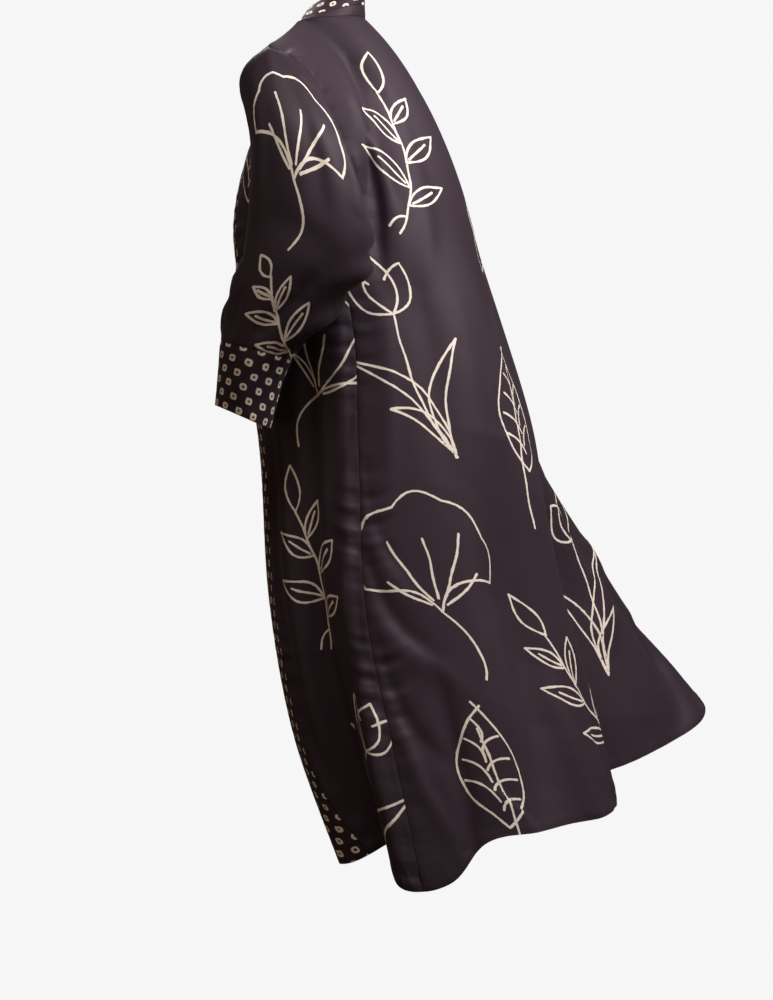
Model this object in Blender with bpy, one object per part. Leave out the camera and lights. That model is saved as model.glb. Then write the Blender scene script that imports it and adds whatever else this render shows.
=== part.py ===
"""Kimono coat: an open, unlined satin coat with drop shoulders, wide sleeves and dotted bands.

It keeps the form it has in mid stride, with the skirt swung back. Metres, +Z up. The front faces
-Y and the left sleeve is on +X. The origin lies between the shoulders, where the coat is held up.

Each piece is a wall about a smooth surface, read at a share across the piece and a level down it.
Body levels run 0 to 1 from the shoulder to the underarm, and 1 to 2 from there to the hem."""

from collections import namedtuple

import bmesh
import bpy
import numpy as np

# Cloth
WALL = 0.002
SEAM_GAP = 0.0003
CORNER_GAP = 0.0008

# Shoulders, neck and bands
NECK_SIDE = np.array([0.074, -0.010, 0.002])
SHOULDER_POINT = np.array([0.220, -0.006, -0.056])
NECK_SHARE = 0.36
BACK_NECK_DEPTH = 0.074
BACK_NECK_RISE = 0.010
BAND_WIDTH = 0.045
STAND_HEIGHT = 0.019
STAND_END_HEIGHT = 0.003
SIDE_BAND_RISE = np.array([-0.80, -0.05, 0.50])
BACK_BAND_RISE = np.array([0.0, 0.05, 1.0])
YOKE_FALL = 0.33
BULGE_PEAK = 27 / 4

# How the cloth leaves the shoulder, at the neck side and at the armhole, and how far it swells
# beside the armhole a third of the way down
Roll = namedtuple("Roll", "back outer_back rise outer_rise armhole_bulge")
YOKE_ROLLS = {
    "back": Roll(0.29, 0.27, -0.24, -0.14, 0.025),
    "front": Roll(-0.15, -0.12, -0.30, -0.18, -0.045),
}

# Heights
UNDERARM_HEIGHT = -0.35
NOMINAL_HEM_HEIGHT = -1.33

# Faces across and down each piece
YOKE_ROWS = 10
SKIRT_ROWS = 23
SHOULDER_COLUMNS = 12
NECK_COLUMNS = 20
BAND_COLUMNS = 2
SLEEVE_ROWS = 15
CUFF_ROWS = 3
SLEEVE_COLUMNS = 2 * YOKE_ROWS

# Steps used to read directions off the surfaces, and the level read for those of a top edge
NORMAL_STEP = 1e-4
EDGE_STEP = 1e-2
TOP_LEVEL = 1e-3
SHARP_ANGLE = 50

# The body of the coat, an ellipse at each height. Angles turn from the left side (0) past
# the back (90), to the free front edges and the side seams. The skirt widens and swings back.
Section = namedtuple(
    "Section", "height centre_x centre_y half_x half_y front_left side_left side_right front_right"
)
SECTIONS = [
    Section(-1.42, -0.035, 0.290, 0.335, 0.250, -31, 2, 184, 230),
    Section(-1.33, -0.030, 0.270, 0.330, 0.250, -34, 3, 183, 232),
    Section(-1.12, -0.020, 0.205, 0.305, 0.250, -48, 5, 181, 236),
    Section(-0.92, -0.015, 0.155, 0.275, 0.235, -55, 4, 178, 240),
    Section(-0.66, -0.005, 0.120, 0.222, 0.220, -62, 5, 175, 244),
    Section(-0.50, 0.000, 0.085, 0.200, 0.210, -67, 11, 175, 246),
    Section(-0.35, 0.000, 0.054, 0.182, 0.197, -70, 10, 178, 250),
]

# Height of the hem at each angle: lifted behind, where the skirt trails
HemPoint = namedtuple("HemPoint", "angle height")
HEM = [
    HemPoint(-45, -1.300),
    HemPoint(-30, -1.300),
    HemPoint(-17, -1.270),
    HemPoint(0, -1.325),
    HemPoint(12, -1.312),
    HemPoint(26, -1.258),
    HemPoint(45, -1.243),
    HemPoint(75, -1.236),
    HemPoint(105, -1.200),
    HemPoint(120, -1.150),
    HemPoint(134, -1.095),
    HemPoint(160, -1.150),
    HemPoint(200, -1.235),
    HemPoint(240, -1.290),
]

# Folds: a ridge stands out and a valley has a negative depth. Width is a half width in degrees and
# lean moves the crest along the cloth. Growth is the power with which a fold deepens down to the
# hem, or 0 for one that fades at both ends.
Fold = namedtuple("Fold", "name top_angle low_angle top bottom depth width lean growth")
FOLDS = [
    Fold("left_front_soft", -45, -28, -0.45, -1.40, 0.012, 9, 0.0, 1.5),
    Fold("left_front_valley", -20, -18, -0.72, -1.40, -0.080, 9, 0.0, 1.5),
    Fold("left_side_ridge", 5, -4, -0.75, -1.40, 0.018, 8, -0.9, 1.5),
    Fold("behind_side_valley", 24, 20, -0.60, -1.40, -0.012, 10, 0.0, 1.5),
    Fold("left_armhole_ridge", 40, 38, -0.08, -0.46, 0.012, 6, 0.0, 0),
    Fold("back_soft_left", 52, 45, -0.45, -1.40, 0.009, 9, 0.0, 1.5),
    Fold("back_soft_middle", 66, 60, -0.60, -1.40, -0.010, 8, 0.0, 1.5),
    Fold("corner_ridge", 86, 72, -0.55, -1.40, 0.010, 8, -0.3, 1.5),
    Fold("corner_valley", 114, 97, -0.64, -1.35, -0.115, 8, 0.0, 1.2),
    Fold("train_ridge", 140, 132, -0.66, -1.11, 0.205, 15, 0.0, 1.0),
    Fold("train_valley", 168, 163, -0.70, -1.40, -0.035, 9, 0.0, 1.5),
    Fold("right_side_ridge", 186, 182, -0.60, -1.40, 0.030, 9, 0.0, 1.5),
    Fold("right_front_valley", 204, 200, -0.60, -1.40, -0.045, 9, 0.0, 1.5),
    Fold("right_front_ridge", 226, 216, -0.50, -1.40, 0.016, 8, 0.0, 1.5),
    Fold("right_armhole_ridge", 150, 152, -0.08, -0.46, 0.012, 7, 0.0, 0),
]

# The left sleeve below its armhole, as rings about the arm. The inner side and the back of a ring
# may lie lower than its outer side and front, and the inner side may lie further back. The cuff
# runs between the last two.
Ring = namedtuple("Ring", "name x y half_out half_front outer_z inner_z rear_drop inner_back")
SLEEVE_RINGS = [
    Ring("upper", 0.250, 0.052, 0.055, 0.084, -0.170, -0.375, 0.000, 0.035),
    Ring("elbow", 0.268, 0.070, 0.058, 0.098, -0.330, -0.410, 0.000, 0.015),
    Ring("forearm", 0.270, 0.034, 0.055, 0.084, -0.430, -0.470, 0.010, 0.000),
    Ring("cuff_seam", 0.262, -0.010, 0.050, 0.054, -0.515, -0.525, 0.013, 0.000),
    Ring("cuff_end", 0.250, -0.038, 0.045, 0.041, -0.613, -0.630, 0.016, 0.000),
]
RIGHT_ARM_FORWARD = 0.055
RIGHT_INNER_BACK = 2.0
SLEEVE_START_PULL = 0.4

SATIN = (0.058, 0.047, 0.060, 1.0)
DOTTED = (0.110, 0.096, 0.098, 1.0)
SATIN_ROUGHNESS = 0.42
COLLECTION = "kimono_coat"


def glide(keys, values, at):
    """A smooth curve through rising keys and their values, read at the array at."""
    keys = np.asarray(keys, float)
    values = np.asarray(values, float)
    slopes = np.gradient(values, keys)
    at = np.clip(at, keys[0], keys[-1])
    cell = np.clip(np.searchsorted(keys, at) - 1, 0, len(keys) - 2)
    width = keys[cell + 1] - keys[cell]
    share = (at - keys[cell]) / width
    start = values[cell], slopes[cell] * width
    end = values[cell + 1], slopes[cell + 1] * width
    return hermite(share, start[0], start[1], end[0], end[1])


def hermite(share, start, start_pull, end, end_pull):
    """A cubic from start to end, leaving along start_pull and arriving along end_pull."""
    return (
        (2 * share**3 - 3 * share**2 + 1) * start
        + (share**3 - 2 * share**2 + share) * start_pull
        + (3 * share**2 - 2 * share**3) * end
        + (share**3 - share**2) * end_pull
    )


def smoothstep(low, high, at):
    share = np.clip((at - low) / (high - low), 0, 1)
    return share * share * (3 - 2 * share)


def unit(vectors):
    return vectors / np.maximum(np.linalg.norm(vectors, axis=-1), 1e-12)[..., None]


def normals(place, across, down):
    """Outward unit normals of the surface place(across, down)."""
    along = place(across + NORMAL_STEP, down) - place(across - NORMAL_STEP, down)
    below = place(across, down + NORMAL_STEP) - place(across, down - NORMAL_STEP)
    return unit(np.cross(below, along))


def section_value(column, height):
    return glide([row.height for row in SECTIONS], [getattr(row, column) for row in SECTIONS], height)


def band_angle(height, angle):
    """The angle that a front band takes up beside its free edge."""
    turn = np.radians(angle)
    across_x = section_value("half_x", height) * np.sin(turn)
    across_y = section_value("half_y", height) * np.cos(turn)
    return np.degrees(BAND_WIDTH / np.hypot(across_x, across_y))


def seam_angles(level):
    """Angles at a level of the left band seam, the two side seams and the right band seam."""
    drop = np.maximum(level, 1) - 1
    height = UNDERARM_HEIGHT + drop * (NOMINAL_HEM_HEIGHT - UNDERARM_HEIGHT)
    front_left = section_value("front_left", height)
    front_right = section_value("front_right", height)
    return (
        front_left + band_angle(height, front_left),
        section_value("side_left", height),
        section_value("side_right", height),
        front_right - band_angle(height, front_right),
    )


PANELS = ("front_left", "back", "front_right")


def angle_at(panel, share, level):
    seams = seam_angles(level)
    first = PANELS.index(panel)
    return seams[first] + share * (seams[first + 1] - seams[first])


def skirt_point(angle, level):
    """The body below the underarm, before its folds."""
    hem = glide([point.angle for point in HEM], [point.height for point in HEM], angle)
    height = UNDERARM_HEIGHT + (level - 1) * (hem - UNDERARM_HEIGHT)
    turn = np.radians(angle)
    x = section_value("centre_x", height) + section_value("half_x", height) * np.cos(turn)
    y = section_value("centre_y", height) + section_value("half_y", height) * np.sin(turn)
    return np.stack([x, y, height], -1)


def neck_point(turn):
    """The back neckline: turn is 0 at the centre back and 90 degrees, in radians, at a neck side."""
    x = NECK_SIDE[0] * np.sin(turn)
    y = NECK_SIDE[1] + BACK_NECK_DEPTH * np.cos(turn)
    z = NECK_SIDE[2] + BACK_NECK_RISE * np.cos(turn)
    return np.stack([x, y, z], -1)


def neck_turn(share):
    """The turn round the back neckline at a share across the back."""
    return np.clip((1 - 2 * share) / NECK_SHARE, -1, 1) * np.pi / 2


def armhole_share(panel, share):
    """0 at the centre back or at a front's band seam, and 1 at an armhole."""
    return {"front_left": share, "back": np.abs(2 * share - 1), "front_right": 1 - share}[panel]


def top_point(panel, share):
    """The top edge: along the shoulder, and on the back also round the neckline."""
    if panel == "back":
        side = np.where(share < 0.5, 1.0, -1.0)
        along = (armhole_share(panel, share) - NECK_SHARE) / (1 - NECK_SHARE)
    else:
        side = np.full_like(share, 1.0 if panel == "front_left" else -1.0)
        along = armhole_share(panel, share)
    point = NECK_SIDE + along[..., None] * (SHOULDER_POINT - NECK_SIDE)
    point[..., 0] *= side
    if panel == "back":
        point = np.where((along < 0)[..., None], neck_point(neck_turn(share)), point)
    return point


def yoke_point(panel, share, level):
    """The body above the underarm: cloth that rolls over the shoulder and falls to the underarm."""
    outer = armhole_share(panel, share)
    angle = angle_at(panel, share, np.ones_like(level))
    low = skirt_point(angle, np.ones_like(level))
    next_level = np.full_like(level, 1 + EDGE_STEP)
    fall = unit(skirt_point(angle_at(panel, share, next_level), next_level) - low) * YOKE_FALL
    row = YOKE_ROLLS[panel.split("_")[0]]
    back = row.back + (row.outer_back - row.back) * outer
    rise = row.rise + (row.outer_rise - row.rise) * outer
    roll = np.stack([0 * outer, back, rise], -1)
    point = hermite(level[..., None], top_point(panel, share), roll, low, fall)
    point[..., 1] += row.armhole_bulge * outer**2 * BULGE_PEAK * level * (1 - level) ** 2
    return point


def plain_point(panel, share, level):
    """The coat's body without folds."""
    skirt = skirt_point(angle_at(panel, share, level), np.maximum(level, 1))
    yoke = yoke_point(panel, share, np.minimum(level, 1))
    return np.where((level >= 1)[..., None], skirt, yoke)


def fold_lift(angle, height):
    """How far the folds move the cloth out, and along itself, at an angle and a height."""
    out = np.zeros_like(height)
    along = np.zeros_like(height)
    for fold in FOLDS:
        run = (fold.top - height) / (fold.top - fold.bottom)
        middle = fold.top_angle + np.clip(run, 0, 1) * (fold.low_angle - fold.top_angle)
        if fold.growth:
            grown = np.clip(run, 0, 1.2) ** fold.growth
        else:
            grown = smoothstep(0, 0.35, run) * smoothstep(1, 0.6, run)
        lift = fold.depth * grown * np.exp(-(np.abs((angle - middle) / fold.width) ** 2))
        out += lift
        along += lift * fold.lean
    return out, along


def body_point(panel, share, level):
    """The coat's body with its folds, for arrays of shares and levels."""
    share, level = (np.asarray(a, float) for a in np.broadcast_arrays(share, level))
    point = plain_point(panel, share, level)
    angle = angle_at(panel, share, level)
    out, along = fold_lift(angle, point[..., 2])
    turn = np.radians(angle)
    outward = np.stack([np.cos(turn), np.sin(turn), 0 * turn], -1)
    onward = np.stack([-np.sin(turn), np.cos(turn), 0 * turn], -1)
    return point + out[..., None] * outward + along[..., None] * onward


def band_point(side, across, level):
    """A front band: across is 0 at its seam and 1 at its free edge."""
    across, level = (np.asarray(a, float) for a in np.broadcast_arrays(across, level))
    panel = "front_" + side
    left = side == "left"
    seam_share = 0.0 if left else 1.0
    seams = seam_angles(level)
    width = seams[1] - seams[0] if left else seams[3] - seams[2]
    seam = seams[0] if left else seams[3]
    drop = np.maximum(level, 1) - 1
    height = UNDERARM_HEIGHT + drop * (NOMINAL_HEM_HEIGHT - UNDERARM_HEIGHT)
    free = section_value(panel, height)
    reach = seam_share + across * (free - seam) / width
    skirt = body_point(panel, reach, np.maximum(level, 1))
    base = body_point(panel, np.full_like(level, seam_share), level)
    flat = skirt - body_point(panel, np.full_like(level, seam_share), np.maximum(level, 1))
    rise = SIDE_BAND_RISE * BAND_WIDTH * np.array([1 if left else -1, 1, 1])
    turned = smoothstep(0, 1, level)[..., None]
    raised = base + (1 - turned) * across[..., None] * rise + turned * flat
    return np.where((level >= 1)[..., None], skirt, raised)


def collar_point(turn, height):
    """The back collar: stand and band rise from the back neckline."""
    turn, height = (np.asarray(a, float) for a in np.broadcast_arrays(turn, height))
    middle = np.cos(turn)[..., None]
    side_rise = np.stack([SIDE_BAND_RISE[0] * np.sin(turn), 0 * turn, 0 * turn], -1)
    side_rise = side_rise + (1 - middle) * SIDE_BAND_RISE * np.array([0, 1, 1])
    return neck_point(turn) + height[..., None] * (side_rise + middle * BACK_BAND_RISE)


def stand_height(turn):
    return STAND_END_HEIGHT + (STAND_HEIGHT - STAND_END_HEIGHT) * np.sqrt(np.maximum(np.cos(turn), 0))


def add_wall(name, points, outward, colour, ring=False):
    """One closed wall about a grid of points, half its thickness each way. A ring's columns meet."""
    rows, columns = points.shape[:2]
    skins = [points + outward * WALL / 2, points - outward * WALL / 2]
    mesh = bpy.data.meshes.new(name)
    bm = bmesh.new()
    outer, inner = ([[bm.verts.new(p) for p in row] for row in skin] for skin in skins)
    last = columns if ring else columns - 1
    for row in range(rows - 1):
        for column in range(last):
            beside = (column + 1) % columns
            bm.faces.new([outer[row][column], outer[row + 1][column], outer[row + 1][beside], outer[row][beside]])
            bm.faces.new([inner[row][column], inner[row][beside], inner[row + 1][beside], inner[row + 1][column]])
    edges = [[(0, c) for c in range(last + 1)], [(rows - 1, c) for c in range(last + 1)][::-1]]
    if not ring:
        edges += [[(r, 0) for r in range(rows)][::-1], [(r, columns - 1) for r in range(rows)]]
    for edge in edges:
        for (r0, c0), (r1, c1) in zip(edge, edge[1:]):
            c0, c1 = c0 % columns, c1 % columns
            bm.faces.new([outer[r0][c0], outer[r1][c1], inner[r1][c1], inner[r0][c0]])
    bmesh.ops.recalc_face_normals(bm, faces=bm.faces)
    bm.to_mesh(mesh)
    bm.free()
    mesh.shade_smooth()
    mesh.set_sharp_from_angle(angle=np.radians(SHARP_ANGLE))
    cloth = bpy.data.materials.new(name)
    cloth.use_nodes = True
    shader = cloth.node_tree.nodes["Principled BSDF"]
    shader.inputs["Base Color"].default_value = colour
    shader.inputs["Roughness"].default_value = SATIN_ROUGHNESS
    shader.inputs["Metallic"].default_value = 0.0
    mesh.materials.append(cloth)
    piece = bpy.data.objects.new(name, mesh)
    bpy.data.collections[COLLECTION].objects.link(piece)
    return piece


def trim(points, edge, amount):
    """Draws one edge of a grid of points back along the cloth."""
    lines = {
        "top": (points[0], points[1]),
        "bottom": (points[-1], points[-2]),
        "first": (points[:, 0], points[:, 1]),
        "last": (points[:, -1], points[:, -2]),
    }
    line, next_line = lines[edge]
    line += unit(next_line - line) * amount


def body_levels():
    yoke = np.linspace(0, 1, YOKE_ROWS + 1)
    skirt = np.linspace(1, 2, SKIRT_ROWS + 1)
    return np.concatenate([yoke, skirt[1:]])[:, None]


def body_normals(panel, share, level):
    return normals(lambda s, v: body_point(panel, s, v), *np.broadcast_arrays(share, level))


def band_normals(side, across, level):
    sign = -1 if side == "left" else 1
    return sign * normals(lambda a, v: band_point(side, a, v), *np.broadcast_arrays(across, level))


def collar_normals(turn, height):
    return normals(collar_point, *np.broadcast_arrays(turn, height))


def shoulder_normals(along):
    """Shared by front and back where they meet, so that the seam's two edges lie side by side."""
    front = body_normals("front_left", along, np.full_like(along, TOP_LEVEL))
    back_share = (1 - NECK_SHARE - along * (1 - NECK_SHARE)) / 2
    back = body_normals("back", back_share, np.full_like(along, TOP_LEVEL))
    return unit(front + back)


def neck_side_normal(side):
    """Shared by all the pieces that meet where the shoulder seam reaches the neckline."""
    mirror = np.array([1 if side == "left" else -1, 1, 1])
    shoulder = shoulder_normals(np.zeros(1))[0] * mirror
    return unit(shoulder + band_seam_normals(side, np.full(1, TOP_LEVEL))[0])


def underarm_normal(side):
    """Shared by a front, the back and the sleeve where the armhole ends and the side seam starts."""
    back_share, front_share = (0.0, 1.0) if side == "left" else (1.0, 0.0)
    front = body_normals("front_" + side, front_share, 1.0)
    return unit(front + body_normals("back", back_share, 1.0))


def band_seam_normals(side, level):
    share = 0.0 if side == "left" else 1.0
    return unit(body_normals("front_" + side, share, level) + band_normals(side, 0.0, level))


def neck_seam_normals(turn):
    share = (1 - turn / (np.pi / 2) * NECK_SHARE) / 2
    return unit(body_normals("back", share, TOP_LEVEL) + collar_normals(turn, 0.0))


def make_front(side):
    panel = "front_" + side
    share = np.linspace(0, 1, SHOULDER_COLUMNS + 1)[None, :]
    level = body_levels()
    points = body_point(panel, share, level)
    outward = body_normals(panel, share, level)
    along = armhole_share(panel, share[0])
    outward[0] = shoulder_normals(along) * np.array([1 if side == "left" else -1, 1, 1])
    band_column, side_column = (0, -1) if side == "left" else (-1, 0)
    outward[:, band_column] = band_seam_normals(side, level[:, 0])
    outward[0, band_column] = neck_side_normal(side)
    outward[YOKE_ROWS, side_column] = underarm_normal(side)
    for edge in ("top", "first", "last"):
        trim(points, edge, SEAM_GAP / 2)
    points[0, band_column] += unit(points[1, band_column] - points[0, band_column]) * CORNER_GAP
    add_wall(panel, points, outward, SATIN)


def make_back():
    neck_start = (1 - NECK_SHARE) / 2
    shoulder_share = np.linspace(0, neck_start, SHOULDER_COLUMNS + 1)
    neck_share = np.linspace(neck_start, 1 - neck_start, NECK_COLUMNS + 1)
    share = np.concatenate([shoulder_share, neck_share[1:-1], 1 - shoulder_share[::-1]])[None, :]
    level = body_levels()
    points = body_point("back", share, level)
    outward = body_normals("back", share, level)
    from_centre = armhole_share("back", share[0])
    along = (from_centre - NECK_SHARE) / (1 - NECK_SHARE)
    mirror = np.stack([np.sign(0.5 - share[0]), 0 * along + 1, 0 * along + 1], -1)
    shoulder = shoulder_normals(np.clip(along, 0, 1)) * mirror
    neck = neck_seam_normals(neck_turn(share[0]))
    outward[0] = np.where((along >= 0)[:, None], shoulder, neck)
    outward[0, SHOULDER_COLUMNS] = neck_side_normal("left")
    outward[0, SHOULDER_COLUMNS + NECK_COLUMNS] = neck_side_normal("right")
    outward[YOKE_ROWS, 0] = underarm_normal("left")
    outward[YOKE_ROWS, -1] = underarm_normal("right")
    for edge in ("top", "first", "last"):
        trim(points, edge, SEAM_GAP / 2)
    add_wall("back", points, outward, SATIN)


def make_front_band(side):
    across = np.linspace(0, 1, BAND_COLUMNS + 1)[None, :]
    level = body_levels()
    points = band_point(side, across, level)
    outward = band_normals(side, across, level)
    outward[:, 0] = band_seam_normals(side, level[:, 0])
    outward[0, 0] = neck_side_normal(side)
    trim(points, "first", SEAM_GAP / 2)
    trim(points, "top", CORNER_GAP)
    add_wall("front_band_" + side, points, outward, DOTTED)


def make_collar():
    turn = np.linspace(np.pi / 2, -np.pi / 2, NECK_COLUMNS + 1)[None, :]
    share = np.linspace(0, 1, 3)[:, None]
    stand = stand_height(turn)
    points = collar_point(turn, SEAM_GAP / 2 + share * (stand - SEAM_GAP))
    outward = collar_normals(turn, share * stand)
    outward[0] = neck_seam_normals(turn[0])
    outward[0, 0] = neck_side_normal("left")
    outward[0, -1] = neck_side_normal("right")
    trim(points, "first", CORNER_GAP)
    trim(points, "last", CORNER_GAP)
    add_wall("neck_stand", points, outward, SATIN)
    points = collar_point(turn, stand + SEAM_GAP / 2 + share * BAND_WIDTH)
    outward = collar_normals(turn, stand + share * BAND_WIDTH)
    trim(points, "first", CORNER_GAP)
    trim(points, "last", CORNER_GAP)
    add_wall("collar_band", points, outward, DOTTED)


def armhole(side):
    """The armhole loop, down the back edge and up the front one, with the body's normals there."""
    level = np.linspace(0, 1, YOKE_ROWS + 1)
    back_share, front_share = (0.0, 1.0) if side == "left" else (1.0, 0.0)
    back = body_point("back", back_share, level)
    front = body_point("front_" + side, front_share, level)
    back_normal = body_normals("back", back_share, level)
    front_normal = body_normals("front_" + side, front_share, level)
    mirror = np.array([1 if side == "left" else -1, 1, 1])
    top = shoulder_normals(np.ones(1))[0] * mirror
    back_normal[0] = top
    front_normal[-1] = back_normal[-1] = underarm_normal(side)
    loop = np.concatenate([back, front[-2:0:-1]])
    outward = np.concatenate([back_normal, front_normal[-2:0:-1]])
    return loop, outward


def ring_points(side):
    """The sleeve's rings below the armhole, each with as many points as the armhole loop."""
    turn = 2 * np.pi * np.arange(SLEEVE_COLUMNS) / SLEEVE_COLUMNS
    mirror, forward, inner_back = (1, 0, 1) if side == "left" else (-1, RIGHT_ARM_FORWARD, RIGHT_INNER_BACK)
    inner_share = inner_back * (1 - np.cos(turn)) / 2
    rings = []
    for ring in SLEEVE_RINGS:
        x = ring.x + ring.half_out * np.cos(turn)
        y = ring.y - forward + ring.half_front * np.sin(turn) + ring.inner_back * inner_share
        middle = (ring.outer_z + ring.inner_z) / 2
        z = middle + (ring.outer_z - ring.inner_z) / 2 * np.cos(turn) - ring.rear_drop * np.sin(turn)
        rings.append(np.stack([mirror * x, y, z], -1))
    return rings


def sleeve_grid(side):
    """Points of sleeve and cuff in one run of rows, and how many rows belong to the sleeve."""
    loop, body_normal = armhole(side)
    mirror = 1 if side == "left" else -1
    into_hole = unit(np.cross(loop_direction(loop, 0), body_normal)) * mirror
    # Where the sleeve turns off the body's cloth it stands on it, clear of the cloth's outer face
    toward = ring_points(side)[0] - loop
    rise = np.sum(toward * body_normal, -1)
    stand_off = np.clip(np.arctan2(rise, np.sum(toward * into_hole, -1)), 0, np.pi / 2)[:, None]
    clear = (1 - np.cos(stand_off)) * WALL / 2 + (np.sin(stand_off) + np.sin(2 * stand_off)) * SEAM_GAP
    start = loop + into_hole * SEAM_GAP + body_normal * clear
    pull = np.linalg.norm(toward, axis=-1)[:, None] * SLEEVE_START_PULL
    pull = pull * (np.cos(stand_off) * into_hole + np.sin(stand_off) * body_normal)
    start_normal = np.cos(stand_off) * body_normal - np.sin(stand_off) * into_hole
    rings = [start] + ring_points(side)
    pulls = [pull]
    for before, after in zip(rings, rings[2:]):
        pulls.append((after - before) / 2)
    pulls.append(rings[-1] - rings[-2])
    share = np.linspace(0, len(rings) - 2, SLEEVE_ROWS + 1)
    rows = [row_between(rings, pulls, at) for at in share]
    cuff = np.linspace(len(rings) - 2, len(rings) - 1, CUFF_ROWS + 1)
    rows += [row_between(rings, pulls, at) for at in cuff[1:]]
    points = np.stack(rows)
    outward = grid_normals(points) * mirror
    outward[0] = start_normal
    return points, outward


def row_between(rings, pulls, at):
    first = min(int(at), len(rings) - 2)
    return hermite(at - first, rings[first], pulls[first], rings[first + 1], pulls[first + 1])


def loop_direction(points, axis):
    """The direction along a closed loop of points, halfway between its two edges at each point."""
    ahead = unit(np.roll(points, -1, axis) - points)
    return unit(ahead + np.roll(ahead, 1, axis))


def grid_normals(points):
    """Outward normals of a tube's grid whose columns meet."""
    return unit(np.cross(np.gradient(points, axis=0), loop_direction(points, 1)))


def make_sleeve(side):
    points, outward = sleeve_grid(side)
    sleeve = points[: SLEEVE_ROWS + 1].copy()
    trim(sleeve, "bottom", SEAM_GAP / 2)
    add_wall("sleeve_" + side, sleeve, outward[: SLEEVE_ROWS + 1], SATIN, ring=True)
    cuff = points[SLEEVE_ROWS:].copy()
    trim(cuff, "top", SEAM_GAP / 2)
    add_wall("cuff_" + side, cuff, outward[SLEEVE_ROWS:], DOTTED, ring=True)


for old in list(bpy.data.objects):
    bpy.data.objects.remove(old, do_unlink=True)
bpy.context.scene.collection.children.link(bpy.data.collections.new(COLLECTION))

make_back()
make_collar()
for side in ("left", "right"):
    make_front(side)
    make_front_band(side)
    make_sleeve(side)
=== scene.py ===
"""A worn kimono coat in dark satin: printed line drawings, ring-dotted bands and cuffs."""

from collections import namedtuple

import bpy
import numpy as np
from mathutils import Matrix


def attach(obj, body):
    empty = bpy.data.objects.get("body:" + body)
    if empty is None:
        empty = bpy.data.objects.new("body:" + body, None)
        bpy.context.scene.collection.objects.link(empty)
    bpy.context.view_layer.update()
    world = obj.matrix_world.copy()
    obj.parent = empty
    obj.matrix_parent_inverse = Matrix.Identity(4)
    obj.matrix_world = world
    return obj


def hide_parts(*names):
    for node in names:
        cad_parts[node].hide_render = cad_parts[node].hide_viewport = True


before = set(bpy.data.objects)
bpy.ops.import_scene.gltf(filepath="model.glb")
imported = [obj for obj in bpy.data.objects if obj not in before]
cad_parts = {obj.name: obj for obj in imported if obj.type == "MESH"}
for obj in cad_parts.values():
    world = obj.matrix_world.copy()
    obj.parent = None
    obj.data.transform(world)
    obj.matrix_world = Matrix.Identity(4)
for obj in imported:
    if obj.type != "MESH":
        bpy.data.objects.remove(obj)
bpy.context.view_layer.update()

# Back: one wide panel of thin satin from the shoulders and the back neckline to the hem. It rolls
# over the shoulders, falls clear of the body and trails behind, with a narrow turned and stitched
# hem. The satin's face carries the cream line drawings; its reverse is duller and shows them faintly.

NECK_SIDE = np.array([0.074, -0.010, 0.002])
SHOULDER_POINT = np.array([0.220, -0.006, -0.056])
NECK_SHARE = 0.36
BACK_NECK_DEPTH = 0.074
BACK_NECK_RISE = 0.010
BAND_WIDTH = 0.045
UNDERARM_HEIGHT = -0.35
NOMINAL_HEM_HEIGHT = -1.33
YOKE_FALL = 0.33
BULGE_PEAK = 27 / 4
SATIN_WALL = 0.0009
HEM_WALL = 0.0019
HEM_WIDTH = 0.012
EDGE_ANGLE = np.radians(60)
FAR_OFF = 9.0
NO_HEM_NEAR = 1.0
FINE_STEPS = 801
BACK_COLUMNS = 200
BODY_ROWS = 234
YOKE_SHARE_OF_ROWS = 0.29
PANELS = ("front_left", "back", "front_right")

Roll = namedtuple("Roll", "back outer_back rise outer_rise armhole_bulge")
YOKE_ROLLS = {
    "back": Roll(0.29, 0.27, -0.24, -0.14, 0.025),
    "front": Roll(-0.15, -0.12, -0.30, -0.18, -0.045),
}

# Ellipses of the coat's body, with the angles of the free front edges and the side seams
Section = namedtuple(
    "Section", "height centre_x centre_y half_x half_y front_left side_left side_right front_right"
)
SECTIONS = [
    Section(-1.42, -0.035, 0.290, 0.335, 0.250, -31, 2, 184, 230),
    Section(-1.33, -0.030, 0.270, 0.330, 0.250, -34, 3, 183, 232),
    Section(-1.12, -0.020, 0.205, 0.305, 0.250, -48, 5, 181, 236),
    Section(-0.92, -0.015, 0.155, 0.275, 0.235, -55, 4, 178, 240),
    Section(-0.66, -0.005, 0.120, 0.222, 0.220, -62, 5, 175, 244),
    Section(-0.50, 0.000, 0.085, 0.200, 0.210, -67, 11, 175, 246),
    Section(-0.35, 0.000, 0.054, 0.182, 0.197, -70, 10, 178, 250),
]

HemPoint = namedtuple("HemPoint", "angle height")
HEM = [
    HemPoint(-45, -1.300),
    HemPoint(-30, -1.300),
    HemPoint(-17, -1.270),
    HemPoint(0, -1.325),
    HemPoint(12, -1.312),
    HemPoint(26, -1.258),
    HemPoint(45, -1.243),
    HemPoint(75, -1.236),
    HemPoint(105, -1.200),
    HemPoint(120, -1.150),
    HemPoint(134, -1.095),
    HemPoint(160, -1.150),
    HemPoint(200, -1.235),
    HemPoint(240, -1.290),
]

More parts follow.
